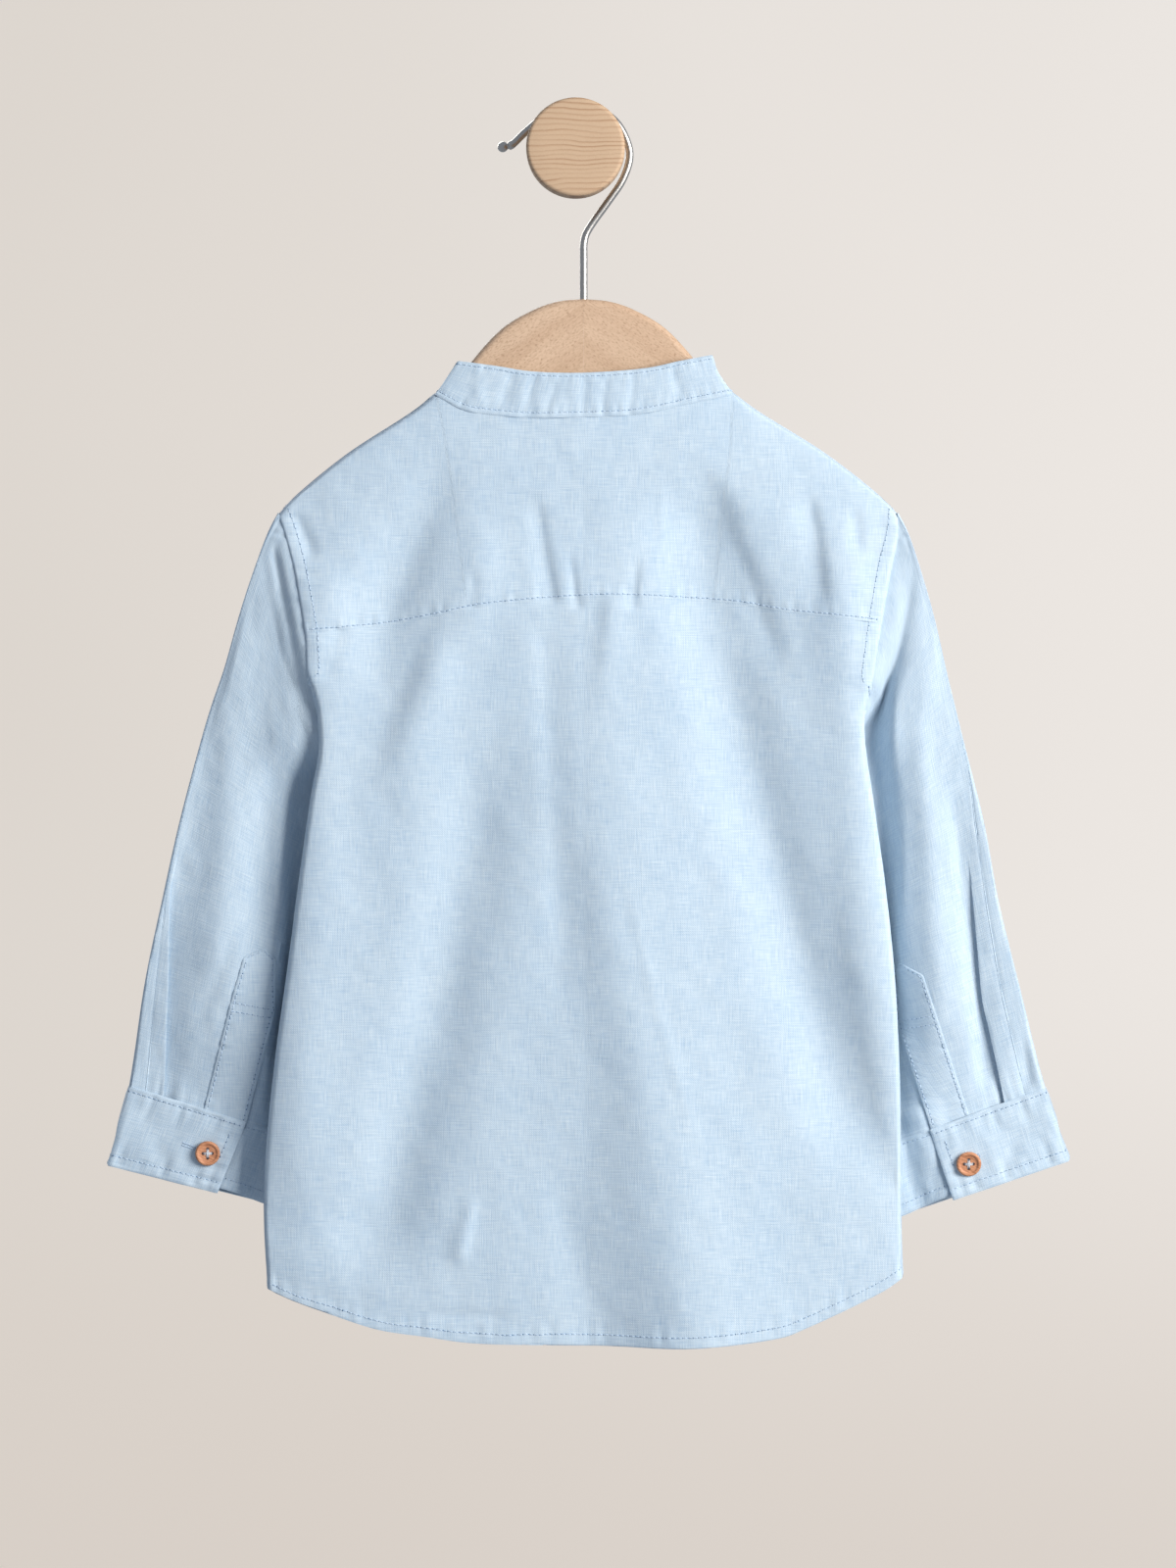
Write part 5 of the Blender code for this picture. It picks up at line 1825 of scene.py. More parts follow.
@dataclass
class Fronts:
    """The two fronts on the side by the wall, which meet under the button placket."""

    torso: TorsoForm
    cut: Cut = Cut(156.0, 384.0)
    thickness: float = 0.5
    pitch: float = 2.3
    lap: float = 0.7
    edge_x: float = CENTRE - 12.0
    hem_lift: float = 4.0

    def hem(self) -> list[Spot]:
        """The fronts' hem, a little shorter at the middle than the back's."""
        lifts = [self.hem_lift * float(ease((s.down - HEM[0].down) / 10.0)) for s in HEM]
        return [Spot(s.x, s.down - lift) for s, lift in zip(HEM, lifts)]

    def shape(self, side: Side) -> Patch:
        """One front's surface.

        Args:
            side: The front's side.

        Returns:
            The patch.
        """
        neckline = FRONT_NECK[7:4:-1] if side is Side.LEFT else FRONT_NECK[1:5]
        corner = Spot(self.edge_x, FRONT_NECK[4].down - 1.5)
        hem = self.hem()
        foot = Spot(self.edge_x, float(Line.through(hem).down_at(self.edge_x)))
        outside = [s for s in hem if (s.x - foot.x) * side.value > 0.0][:: -int(side.value)]
        outer = armhole_side(ARMHOLE_FRONT[side][1:], side, self.lap)
        inner = Line.through([*neckline, corner], [corner, foot])
        top = Line.through([outer.at(0.0), neckline[0]])
        bottom = Line.through([outer.at(1.0), *outside[1:], foot])
        across = graded(140.0, self.pitch, end=False)
        grid = coons(top, bottom, outer, inner, across, graded(360.0, self.pitch))
        if side is Side.RIGHT:
            grid = grid[:, ::-1]
        patch = self.torso.patch(grid, Facing.WALL)
        height = self.torso.relief(patch.x, patch.down, patch.facing)
        height += HEM_BAND.relief(patch.reach(0, True), patch.x)
        height += armhole_relief(patch, 51, side is Side.RIGHT)
        patch.raise_by(height)
        return patch

    def build(self) -> list[Object]:
        """Make and dress both fronts.

        Returns:
            The left and the right front.
        """
        pieces = []
        for side in Side:
            patch = self.shape(side)
            pieces.append(cloth_object(f"front_{side.word}", [patch], self.thickness))
            rows, face = Stitches(), self.thickness / 2.0
            rows.follow(*patch.trace(0, HEM_BAND.row, face, True))
            stitch_armhole(rows, patch, face, side is Side.RIGHT)
            self.cut.declare(pieces[-1], [patch], ["back_yoke"], rows)
        return pieces


@dataclass
class FrontPlacket:
    """The buttoned strip down the centre of the fronts."""

    width: float = 24.0
    thickness: float = 0.9
    lift: float = 0.8
    row: float = 4.0
    foot: float = HEM[6].down - Fronts.hem_lift
    slit: Pair = (-1.5, 11.5)
    buttons: tuple[float, ...] = tuple(196.0 + 58.0 * count for count in range(6))
    cut: Cut = Cut(24.0, 384.0)

    def build(self, fronts: Landing) -> Object:
        """Make and dress the strip, on the fronts.

        Args:
            fronts: The cloth it lies on.

        Returns:
            The piece.
        """
        across = CENTRE + self.width * (graded(self.width, 2.0) - 0.5)
        length = self.foot - FRONT_NECK[4].down - 0.3
        downs = self.foot - length * (1.0 - graded(length, 2.0))
        places = np.stack(np.meshgrid(across, downs), axis=-1)
        patch = Patch(fronts.lay(places, Facing.WALL, self.lift), Facing.WALL)
        for axis in (0, 1):
            y = patch.points[..., 1]
            patch.points[..., 1] = y * 0.5 + (np.roll(y, 1, axis) + np.roll(y, -1, axis)) * 0.25
            patch.points[[0, -1], :, 1], patch.points[:, [0, -1], 1] = y[[0, -1]], y[:, [0, -1]]
        edges = np.minimum(patch.reach(1), patch.reach(1, True))
        waves = Puckers(61, height=0.2, reach=3.0).relief(patch.down, edges - self.row)
        patch.raise_by(waves - 0.35 * bell(edges, 0.7))
        piece = cloth_object("front_placket", [patch], self.thickness)
        rows, face = Stitches(), self.thickness / 2.0
        for from_end in (False, True):
            rows.follow(*patch.trace(1, self.row, face, from_end))
        rows.follow(*patch.trace(0, HEM_BAND.row, face, True))
        landing = Landing(piece)
        for down in self.buttons:
            ends = (Spot(CENTRE, down + reach) for reach in self.slit)
            rows.bars(*ends, landing, Facing.WALL)
        self.cut.declare(piece, [patch], ["front_left", "front_right"], rows, "laid")
        return piece


COLLAR_TOP = spots(
    (-54.2, 97.3), (-36, 99.8), (-19.5, 102.3), (3.9, 102.9), (31.3, 100.9), (48, 97.4), (62.6, 94.6),
)
FRONT_COLLAR_TOP = spots(
    (62.6, 94.6), (55, 113), (43, 129), (26, 142.5), (CENTRE, 148), (-18, 142.5), (-35, 129),
    (-47, 113), (-54.2, 97.3),
)
COLLAR_CREASES = (
    Crease((-27, 96), (-35.5, 124), (3, 3.6), (-0.6, -0.7), 0, 0.2, (0.25, 0.2)),
    Crease((-17, 97), (-24, 125), (2.2, 2.4), (-0.5, -0.7), 0, 0, (0.25, 0.15)),
    Crease((-9, 106), (-13, 121), (1.8, 2), (-0.3, -0.4), 0, 0, (0.3, 0.3)),
    Crease((5, 101), (3, 124), (2, 2.4), (-0.3, -0.5), 0, 0, (0.3, 0.15)),
    Crease((14, 99), (12.6, 125), (2, 2.4), (-0.3, -0.5), 0, 0, (0.3, 0.15)),
    Crease((27, 98), (25, 124), (2, 2.2), (-0.3, -0.5), 0, 0, (0.3, 0.15)),
    Crease((42, 96), (50, 118), (2.4, 2.4), (-0.5, -0.5), 0, 0, (0.3, 0.3)),
    Crease((-46, 97), (-44, 122), (3.4, 3), (0.4, 0.4), 0, 0, (0.3, 0.3)),
)


# Half way up the band at the centre front, where its button sits.
COLLAR_BUTTON = (FRONT_NECK[4].down + FRONT_COLLAR_TOP[4].down) / 2.0


@dataclass
class CollarBand:
    """The standing collar: one band round the neck, whose ends lap at the centre front."""

    torso: TorsoForm
    cut: Cut = Cut(344.0, 27.0)
    thickness: float = 1.2
    pitch: float = 1.2
    lap: float = 10.0
    lap_step: float = 1.1
    lean: float = 0.98
    overhang: float = 0.8
    proud: float = 0.35
    top_row: float = 1.4
    seam_row: float = 2.3
    slit: Pair = (-1.5, 8.0)

    def loop(self, behind: Sequence[Spot], wall: Sequence[Spot]) -> Line:
        """Line round the neck from the band's under end to its lapped end; z is the side.

        Args:
            behind: Spots on the back, from left to right.
            wall: Spots by the wall, from right to left.

        Returns:
            The line.
        """
        by_wall = smooth_path([(*spot, 1.0) for spot in wall])[::-1]
        under = by_wall[by_wall[:, 0] > CENTRE - self.lap]
        over = by_wall[by_wall[:, 0] < CENTRE + self.lap]
        back = smooth_path([(*spot, -1.0) for spot in behind])[::-1]
        return Line(np.vstack((under, back[1:-1], over)))

    def shape(self) -> Patch:
        """The band's surface, from its top edge down to the neck seam.

        Returns:
            The band's patch.
        """
        seam, top = self.loop(NECK_SEAM, FRONT_NECK), self.loop(COLLAR_TOP, FRONT_COLLAR_TOP)
        shares = graded(seam.length, self.pitch)
        foot, edge = seam.at(shares), top.at(shares)
        height = np.hypot(*(edge - foot)[:, :2].T)
        rise = 1.0 - graded(24.0, self.pitch)[:, None]
        rise = rise - (1.0 - rise) ** 4 * self.overhang / height
        side = np.where(foot[:, 2] > 0.0, 1.0, -1.0)
        place = mix(foot[None, :, :2], edge[None, :, :2], rise[..., None])
        wall, view = (self.torso.y(*foot[:, :2].T, facing) for facing in (Facing.WALL, Facing.VIEW))
        depth = np.abs(np.where(side > 0.0, wall, view) - MIDDLE_Y) * mix(1.0, self.lean, rise)
        step = ease((shares - 0.9) / 0.06) - ease((0.1 - shares) / 0.06)
        y = MIDDLE_Y + side * (depth + self.proud * (1.0 - ease(rise / 0.5))) + self.lap_step * step
        weave = np.stack(np.broadcast_arrays(shares * seam.length, (1.0 - rise) * 24.0), axis=-1)
        points = np.stack((place[..., 0], y, -place[..., 1]), axis=-1)
        patch = Patch(points, Facing.VIEW, weave, (len(shares) // 2 - 9, len(shares) // 2 + 9))
        relief = Relief(COLLAR_CREASES, (Crumple(17, 14.0, 0.09), Crumple(18, 6.0, 0.04)))
        low, high = patch.reach(0, True), patch.reach(0)
        along = np.broadcast_to(shares * seam.length, low.shape)
        behind = (side < 0.0) * ease(np.minimum(patch.x + 52.0, 60.0 - patch.x) / 10.0)
        stir = relief.at(patch.x, patch.down) * behind * ease(high / 4.0)
        stir += Puckers(71, height=0.14, reach=3.2).relief(along, low - 2.4) * ease(low / 1.5)
        stir += Puckers(72, height=0.1, reach=2.6).relief(along, high - self.top_row)
        stir -= 0.22 * bell(low - self.seam_row, 0.7) + 0.18 * bell(high - self.top_row, 0.6)
        stir -= 0.4 * (1.0 - rounding(high, 1.0)) + 0.3 * (1.0 - rounding(low, 0.9))
        patch.points[..., 1] += stir * side
        return patch

    def build(self) -> Object:
        """Make and dress the band.

        Returns:
            The piece.
        """
        patch = self.shape()
        piece = cloth_object("collar_band", [patch], self.thickness)
        rows, face = Stitches(), self.thickness / 2.0
        rows.follow(*patch.trace(0, self.top_row, face))
        rows.follow(*patch.trace(0, self.seam_row, face, True))
        ends = (Spot(CENTRE + reach, COLLAR_BUTTON) for reach in self.slit)
        rows.bars(*ends, Landing(piece), Facing.WALL)
        self.cut.declare(piece, [patch], ["back_yoke"], rows)
        return piece


# --- sleeves and cuffs


SLEEVE_ROWS = {
    Side.LEFT: tuple(starmap(SleeveRow, (
        (166.6, -136.6, -118.9, 261.5), (183, -145.5, -117.2, 267), (201.5, -151.3, -115.4, 273),
        (219, -156.7, -113.8, 281), (237, -161.7, -113.5, 291), (255, -168, -110.5, 304),
        (273, -173.4, -108.5, 319), (309, -182.9, -107.5, 347), (345, -190.9, -109, 377),
        (381, -198.6, -113, 408), (417, -204.4, -121, 442), (431.7, -206.9, -125.6, 456.5),
    ))),
    Side.RIGHT: tuple(starmap(SleeveRow, (
        (166.6, 148, 132.9, 261.5), (183, 156.4, 131.2, 267), (201.5, 161.4, 129.6, 273),
        (219, 166.3, 128, 281), (237, 170.4, 128, 291), (255, 174.9, 124.5, 304),
        (273, 179.4, 122, 319), (309, 188.4, 121.5, 347), (345, 195.1, 123, 377),
        (381, 204.1, 127, 410), (417, 213.2, 133, 446), (432.4, 217.6, 136, 462),
    ))),
}
# Where each sleeve's fullness starts to fall towards the torso and over how much of its width, the y it falls
# to, the y of what lies behind the torso, how far down and over what length it tucks in, and how far from the
# armhole it leaves the seam's height, at the outer and at the inner end.
SLEEVE_FALLS = {
    Side.LEFT: ((0.3, 0.42), (-30.5, -21.5), (-30.5, -12.3), (266, 32), (22, 4)),
    Side.RIGHT: ((0.54, 0.34), (-29, -12.3), (-29, -12.3), (222, 62), (22, 12)),
}
CUFF_FORMS = {
    Side.LEFT: CuffForm(
        Side.LEFT,
        (Spot(-206.9, 431.7), Spot(-125.6, 456.5)),
        (Spot(-217.1, 467.2), Spot(-134, 488)),
        (0.667, 0.62),
        Spot(-170, 461.7),
    ),
    Side.RIGHT: CuffForm(
        Side.RIGHT,
        (Spot(217.6, 432.4), Spot(136, 462)),
        (Spot(228.9, 465), Spot(143, 494)),
        (0.656, 0.634),
        Spot(181.4, 466.5),
    ),
}
# The cuffs' buttonholes, from end to end.
CUFF_SLITS = {
    Side.LEFT: spots((-181.5, 457.5), (-169, 461.9)),
    Side.RIGHT: spots((186.5, 462.5), (180.5, 467)),
}
SLEEVE_CREASES = {
    Side.LEFT: (
        Crease((-139, 180), (-122.5, 262), (1.8, 3.2), (-1.4, -1.8), -0.3, 0, (0.12, 0.2)),
        Crease((-172, 262), (-184, 438), (8, 10), (-0.4, -0.9), -1.5, -0.2, (0.3, 0.08)),
        Crease((-157, 192), (-167, 408), (10, 10), (1.7, 2.1), 2, 0.2, (0.25, 0.2)),
        Crease((-156, 352), (-176, 404), (2.6, 3.4), (-0.6, -0.9), 2, 0, (0.3, 0.3)),
        Crease((-140, 286), (-146, 372), (3, 4), (-0.5, -0.6), 0, 0, (0.3, 0.4)),
        Crease((-140, 404), (-139, 452), (3.6, 4.4), (-1.4, -1.6), 1, 0, (0.4, 0.05)),
    ),
    Side.RIGHT: (
        Crease((149, 172), (125.5, 285), (4.2, 8.5), (-3.2, -6.5), -0.7, 0.6, (0.16, 0.3)),
        Crease((160, 204), (169, 420), (7, 8), (1.8, 2.2), -2, 0, (0.3, 0.15)),
        Crease((173, 286), (190, 436), (6, 5), (-2, -2.4), 0, 0.3, (0.25, 0.08)),
        Crease((163, 246), (168, 310), (4, 5), (-0.8, -0.9), -1, 0, (0.3, 0.4)),
        Crease((140, 262), (150, 446), (7, 12), (-3, -5.5), 1, 0.2, (0.15, 0.05)),
        Crease((207, 402), (209.5, 438), (2.6, 3), (-0.9, -1.2), 0, 0, (0.5, 0.05)),
        Crease((148, 408), (151, 456), (3.6, 4.4), (-1.4, -1.6), -1, 0, (0.4, 0.05)),
    ),
}
# How far the underarms lie from x = 0, and the creases on both sleeves' hidden side, whose x is off there.
ARMHOLE_WALL = {Side.LEFT: 118.0, Side.RIGHT: 132.0}
WALL_CREASES = (
    ((12, 200), (30, 300), (5, 7), (-1.8, -1.4)),
    ((22, 270), (48, 430), (6, 8), (-1.6, -2)),
    ((2, 240), (16, 400), (6, 8), (1.3, 1.6)),
    ((40, 330), (62, 432), (5, 6), (1, 1.2)),
)
# Where the pleat's fold lies, from where it opens out down to the cuff.
PLEAT_LINES = {
    Side.LEFT: spots((-186, 318), (-187.4, 354), (-187.9, 381), (-189.2, 408), (-190.7, 440)),
    Side.RIGHT: spots(
        (180, 312), (184.2, 354), (187.5, 388.5), (190.6, 403), (195.1, 422.7), (199, 442),
    ),
}


@dataclass
class Sleeve:
    """One sleeve, from the armhole to the cuff, with a pleat laid above the cuff."""

    form: SleeveForm
    cuff: CuffForm
    cut: Cut = Cut(212.0, 306.0)
    thickness: float = 0.5
    pitch: float = 1.8
    pleat_start: float = 318.0
    pleat_reach: float = 50.0
    pleat_turn: float = 6.0
    pleat_depth: float = 3.3
    pleat_fade: float = 13.0
    pleat_lip: float = -0.25
    tuck: float = 0.7
    tuck_reach: float = 44.0

    def __post_init__(self) -> None:
        """Note the sleeve's side."""
        self.side = self.form.side

    def downs(self) -> Array:
        """How far down the outer fold each row starts."""
        return mix(self.form.start, self.form.end, graded(290.0, self.pitch))

    def fold_share(self, down: Array) -> Array:
        """Share of the width at which the pleat's fold lies in each row.

        Args:
            down: How far down the outer fold each row starts.

        Returns:
            The shares.
        """
        fold = smooth_path(PLEAT_LINES[self.side])
        share = np.full_like(down, 0.2)
        outer, inner = self.form.flat(down, np.zeros_like(down)), self.form.flat(down, np.ones_like(down))
        for _ in range(8):
            level = mix(outer[:, 1], inner[:, 1], share)
            target = np.interp(level, fold[:, 1], fold[:, 0])
            share = (target - outer[:, 0]) / (inner[:, 0] - outer[:, 0])
        return np.clip(share, 0.03, 0.3)

    def view_columns(self, down: Array) -> tuple[Array, Array]:
        """Shares across the view side, doubling back at the pleat, and how deep each lies.

        Args:
            down: How far down the outer fold each row starts.

        Returns:
            The shares, and the depths in millimetres.
        """
        width = self.form.width(down)[:, None]
        fold = self.fold_share(down)[:, None]
        laid = ease((down - self.pleat_start) / self.pleat_reach)[:, None]
        strip = graded(16.0, 1.6)[None, :]
        turn = np.linspace(0.0, 1.0, 9)[None, 1:]
        rest = graded(66.0, self.pitch)[None, 1:]
        back = fold - laid * self.pleat_turn / width + (1.0 - laid) * 2.0 / width
        shares = np.hstack((strip * fold, mix(fold, back, turn), mix(back, 1.0, rest)))
        away = rest * (1.0 - back) * width
        deep = self.pleat_depth * laid
        lip = self.pleat_lip * laid * bell(fold * width * (1.0 - strip), 3.0)
        fade = 1.0 - ease(away / (self.pleat_fade + self.pleat_turn))
        depth = np.hstack((lip, mix(self.pleat_lip * laid, deep, ease(turn * 2.5)), deep * fade))
        return shares, depth

    def tucked(self, points: Array, down: Array, c: Array, facing: Facing) -> None:
        """Bring the sleeve's end inside the cuff.

        Args:
            points: The sleeve's points, which are moved.
            down: How far down the outer fold each row starts.
            c: Fractions of the way to the inner fold.
            facing: The layer.
        """
        run = self.form.end - down
        share = 1.0 - ease(run / self.tuck_reach)
        near = rounding(np.minimum(c, 1.0 - c) * self.form.width(down), 9.0)
        target = self.cuff.resting(c, np.zeros_like(c), facing) - facing.value * self.tuck * near
        points[..., 1] = mix(points[..., 1], target, share)

    def weave(self, down: Array, c: Array, facing: Facing) -> Array:
        """Cloth coordinates: round the sleeve from its outer fold, and along it."""
        return np.stack((-facing.value * c * self.form.width(down), down * 1.03), axis=-1)

    def wall_creases(self) -> tuple[Crease, ...]:
        """The hidden side's creases.

        Returns:
            The creases.
        """
        armhole = ARMHOLE_WALL[self.side]
        found = []
        for start, end, width, height in WALL_CREASES:
            start, end = ((self.side.value * (armhole + x), down) for x, down in (start, end))
            found.append(Crease(start, end, width, height))
        return tuple(found)

    def layer(self, facing: Facing) -> Patch:
        """The surface of one side.

        Args:
            facing: The side.

        Returns:
            The patch.
        """
        rows = self.downs()
        if facing is Facing.VIEW:
            c, depth = self.view_columns(rows)
        else:
            c = np.tile(graded(82.0, self.pitch), (len(rows), 1))
            depth = np.zeros_like(c)
        down = np.broadcast_to(rows[:, None], c.shape)
        points, travel = self.form.points(down, c, facing)
        self.tucked(points, down, c, facing)
        patch = Patch(points, facing, self.weave(down, c, facing))
        width = self.form.width(down)
        calm = ease(c * width / 6.0) * ease((1.0 - c) * width / 12.0) * ease(travel / 2.0)
        end = self.form.end - down
        creases = SLEEVE_CREASES[self.side] if facing is Facing.VIEW else self.wall_creases()
        relief = Relief(creases, (Crumple(23, 26.0, 0.11), Crumple(25, 11.0, 0.06), Crumple(27, 6.0, 0.03)))
        height = relief.at(patch.x, patch.down) * calm * ease(end / 6.0)
        across = np.abs(patch.weave[..., 0])
        height += Puckers(81, 7.0, 0.3, 11.0).relief(across, end) * calm
        height += Puckers(82, 6.0, 0.16, 6.0).relief(travel * 0.2 + patch.down, travel - 3.0) * calm
        height -= 0.25 * (1.0 - ease(travel / 6.0))
        patch.points[..., 1] += facing.value * height + depth
        return patch

    def build(self) -> Object:
        """Make and dress the sleeve.

        Returns:
            The piece.
        """
        patches = [self.layer(Facing.VIEW), self.layer(Facing.WALL)]
        piece = cloth_object(f"sleeve_{self.side.word}", patches, self.thickness, weld=True)
        self.cut.declare(piece, patches, ["back_yoke", "back_panel"])
        return piece


@dataclass
class Cuff:
    """One buttoned cuff: a band round the sleeve's end, whose ends lap under the button."""

    form: CuffForm
    buttonhole: tuple[Spot, Spot]
    cut: Cut = Cut(206.0, 40.0)
    thickness: float = 0.9
    pitch: float = 1.2
    overhang: float = 0.9
    height: float = 36.0
    shortfall: float = 2.6
    seam_row: float = 2.3
    edge_row: float = 5.0

    def shape(self) -> Patch:
        """The band's surface, from its lapped end over the outer fold to its under end.

        Returns:
            The band's patch.
        """
        form = self.form
        rise = graded(self.height, self.pitch)[:, None]
        rise = rise - (1.0 - rise) ** 4 * self.overhang / self.height
        lap = form.lap_at(rise)
        over = 1.0 - graded(54.0, self.pitch, end=False)[None, :]
        wall = graded(82.0, self.pitch)[None, 1:-1]
        under = 1.0 - graded(46.0, self.pitch, start=False)[None, :]
        parts = (
            (lap * over, Facing.VIEW, -1.0),
            (np.broadcast_to(wall, (len(rise), wall.shape[1])), Facing.WALL, 0.0),
            (mix(lap - form.overlap, 1.0, under), Facing.VIEW, 1.0),
        )
        points = []
        for c, facing, step in parts:
            level = np.broadcast_to(rise, c.shape)
            y = form.resting(c, level, facing) + form.step * step * form.lapped(c, level)
            short = max(step, 0.0) * self.shortfall * (1.0 - ease((c - form.lap_at(level)) / 0.3))
            place = form.place(c, level - level * short / self.height)
            points.append(np.stack((place[..., 0], y, -place[..., 1]), axis=-1))
        points = np.concatenate(points, axis=1)
        along = travelled(np.linalg.norm(np.diff(points, axis=1), axis=2), 1)
        weave = np.stack((along, np.broadcast_to(rise * self.height, along.shape)), axis=-1)
        patch = Patch(points, Facing.VIEW, weave, (6, 30))
        top, foot, end = patch.reach(0), patch.reach(0, True), patch.reach(1)
        stir = Puckers(91, 7.5, 0.22, 6.0).relief(along, top - 2.2)
        stir += Puckers(92, 8.5, 0.26, 6.5).relief(along, foot - self.edge_row)
        stir += Puckers(93, 6.5, 0.26, 5.0).relief(weave[..., 1] + 4.0, end - self.edge_row)
        stir += Relief((), (Crumple(95, 16.0, 0.22), Crumple(96, 7.0, 0.08))).at(along, weave[..., 1])
        stir = stir * ease(np.minimum(top, foot) / 2.0)
        stir -= 0.22 * (bell(top - self.seam_row, 0.7) + bell(foot - self.edge_row, 0.8))
        stir -= 0.22 * bell(end - self.edge_row, 0.8)
        stir -= 0.35 * (1.0 - rounding(np.minimum(np.minimum(top, foot), end), 0.9))
        patch.raise_by(stir)
        return patch

    def build(self) -> Object:
        """Make and dress the cuff.

        Returns:
            The piece.
        """
        patch, side = self.shape(), self.form.side.word
        piece = cloth_object(f"cuff_{side}", [patch], self.thickness)
        rows, face = Stitches(), self.thickness / 2.0
        rows.follow(*patch.trace(0, self.seam_row, face))
        rows.follow(*patch.trace(0, self.edge_row, face, True))
        rows.follow(*(part[8:-16] for part in patch.trace(1, self.edge_row, face)))
        rows.bars(*self.buttonhole, Landing(piece), Facing.VIEW)
        self.cut.declare(piece, [patch], [f"sleeve_{side}"], rows)
        return piece


@dataclass(frozen=True)
class SleevePlacket:
    """The pointed strip that finishes the slit above a cuff."""

    side: Side
    tip: Spot
    shoulders: tuple[Spot, Spot]
    base: tuple[Spot, Spot]
    cross: tuple[Spot, Spot]
    cut: Cut = Cut(21.0, 82.0)
    thickness: float = 0.5
    lift: float = 0.5
    row: float = 1.5

    def outline(self) -> tuple[Line, ...]:
        """The strip's outer and inner edge from the tip down.

        Returns:
            The two edges.
        """
        found = []
        for shoulder, cross, foot in zip(self.shoulders, self.cross, self.base):
            half = mix(np.array(self.tip), np.array(shoulder), 0.5)
            found.append(Line.through([self.tip, half, shoulder], [shoulder, cross], [cross, foot]))
        return tuple(found)

    def build(self, sleeve: Landing) -> None:
        """Make and dress the strip, on its sleeve.

        Args:
            sleeve: The cloth it lies on.
        """
        outer, inner = self.outline()
        downward = graded(outer.length, 1.1) * 0.998 + 0.002
        across = graded(17.0, 1.3)[None, :, None]
        places = mix(outer.at(downward)[:, None], inner.at(downward)[:, None], across)
        laid = sleeve.lay(places, Facing.VIEW, self.lift)
        for _ in range(3):
            y = np.pad(laid[..., 1], 1, mode="edge")
            laid[..., 1] = (y[2:, 1:-1] + y[:-2, 1:-1] + y[1:-1, 2:] + y[1:-1, :-2]) / 4.0
        patch = Patch(laid, Facing.VIEW)
        edge = np.minimum(patch.reach(1), patch.reach(1, True))
        free = ease((patch.down - self.cross[1].down) / 12.0) * ease((470.0 - patch.down) / 30.0)
        stir = 0.7 * free * bell(patch.reach(1, True), 5.0) - 0.3 * (1.0 - rounding(edge, 0.8))
        stir += Puckers(97, 5.5, 0.16, 2.5).relief(patch.down, edge - self.row)
        patch.raise_by(stir - 0.12 * bell(edge - self.row, 0.6))
        side = self.side.word
        piece = cloth_object(f"sleeve_placket_{side}", [patch], self.thickness)
        rows, face = Stitches(), self.thickness / 2.0
        for from_end in (False, True):
            rows.follow(*patch.trace(1, self.row, face, from_end))
        for shift in (0.0, 4.0):
            rows.row(np.array(self.cross) + (0.0, shift), Landing(piece), Facing.VIEW)
        self.cut.declare(piece, [patch], [f"sleeve_{side}"], rows, "laid")


SLEEVE_PLACKETS = {
    Side.LEFT: SleevePlacket(
        Side.LEFT,
        Spot(-143.7, 367.3),
        (Spot(-152.7, 370.9), Spot(-138.3, 372.3)),
        (Spot(-171.6, 441.6), Spot(-152.2, 447.8)),
        (Spot(-158.9, 392), Spot(-138.6, 395.7)),
    ),
    Side.RIGHT: SleevePlacket(
        Side.RIGHT,
        Spot(149.7, 374.1),
        (Spot(160, 379.4), Spot(147.4, 377.7)),
        (Spot(181.6, 444), Spot(164.3, 450.8)),
        (Spot(166.2, 398), Spot(148.9, 401.1)),
    ),
}


# --- buttons


def lathe(name: str, profile: Array, steps: int) -> Mesh:
    """Turned form round the local Z axis.

    Args:
        name: The mesh's name.
        profile: Radius and height of each point, from axis to axis.
        steps: Flats round the axis.

    Returns:
        The mesh, in metres.
    """
    ring = circle(steps, (1.0, 0.0, 0.0), (0.0, 1.0, 0.0))
    inner = profile[1:-1]
    points = np.vstack([ring * radius + (0.0, 0.0, z) for radius, z in inner])
    faces = bands(len(inner), steps)
    low, last = len(points), len(points) - steps
    for step in range(steps):
        after = (step + 1) % steps
        faces += [[low, after, step], [low + 1, last + step, last + after]]
    return new_mesh(name, (points, [(0.0, 0.0, profile[0][1]), (0.0, 0.0, profile[-1][1])]), faces)


@dataclass(frozen=True)
class ButtonSeat:
    """A button's node, the cloth under it, its place and the side from which it is seen."""

    node: str
    cloth: Object
    spot: Spot
    facing: Facing


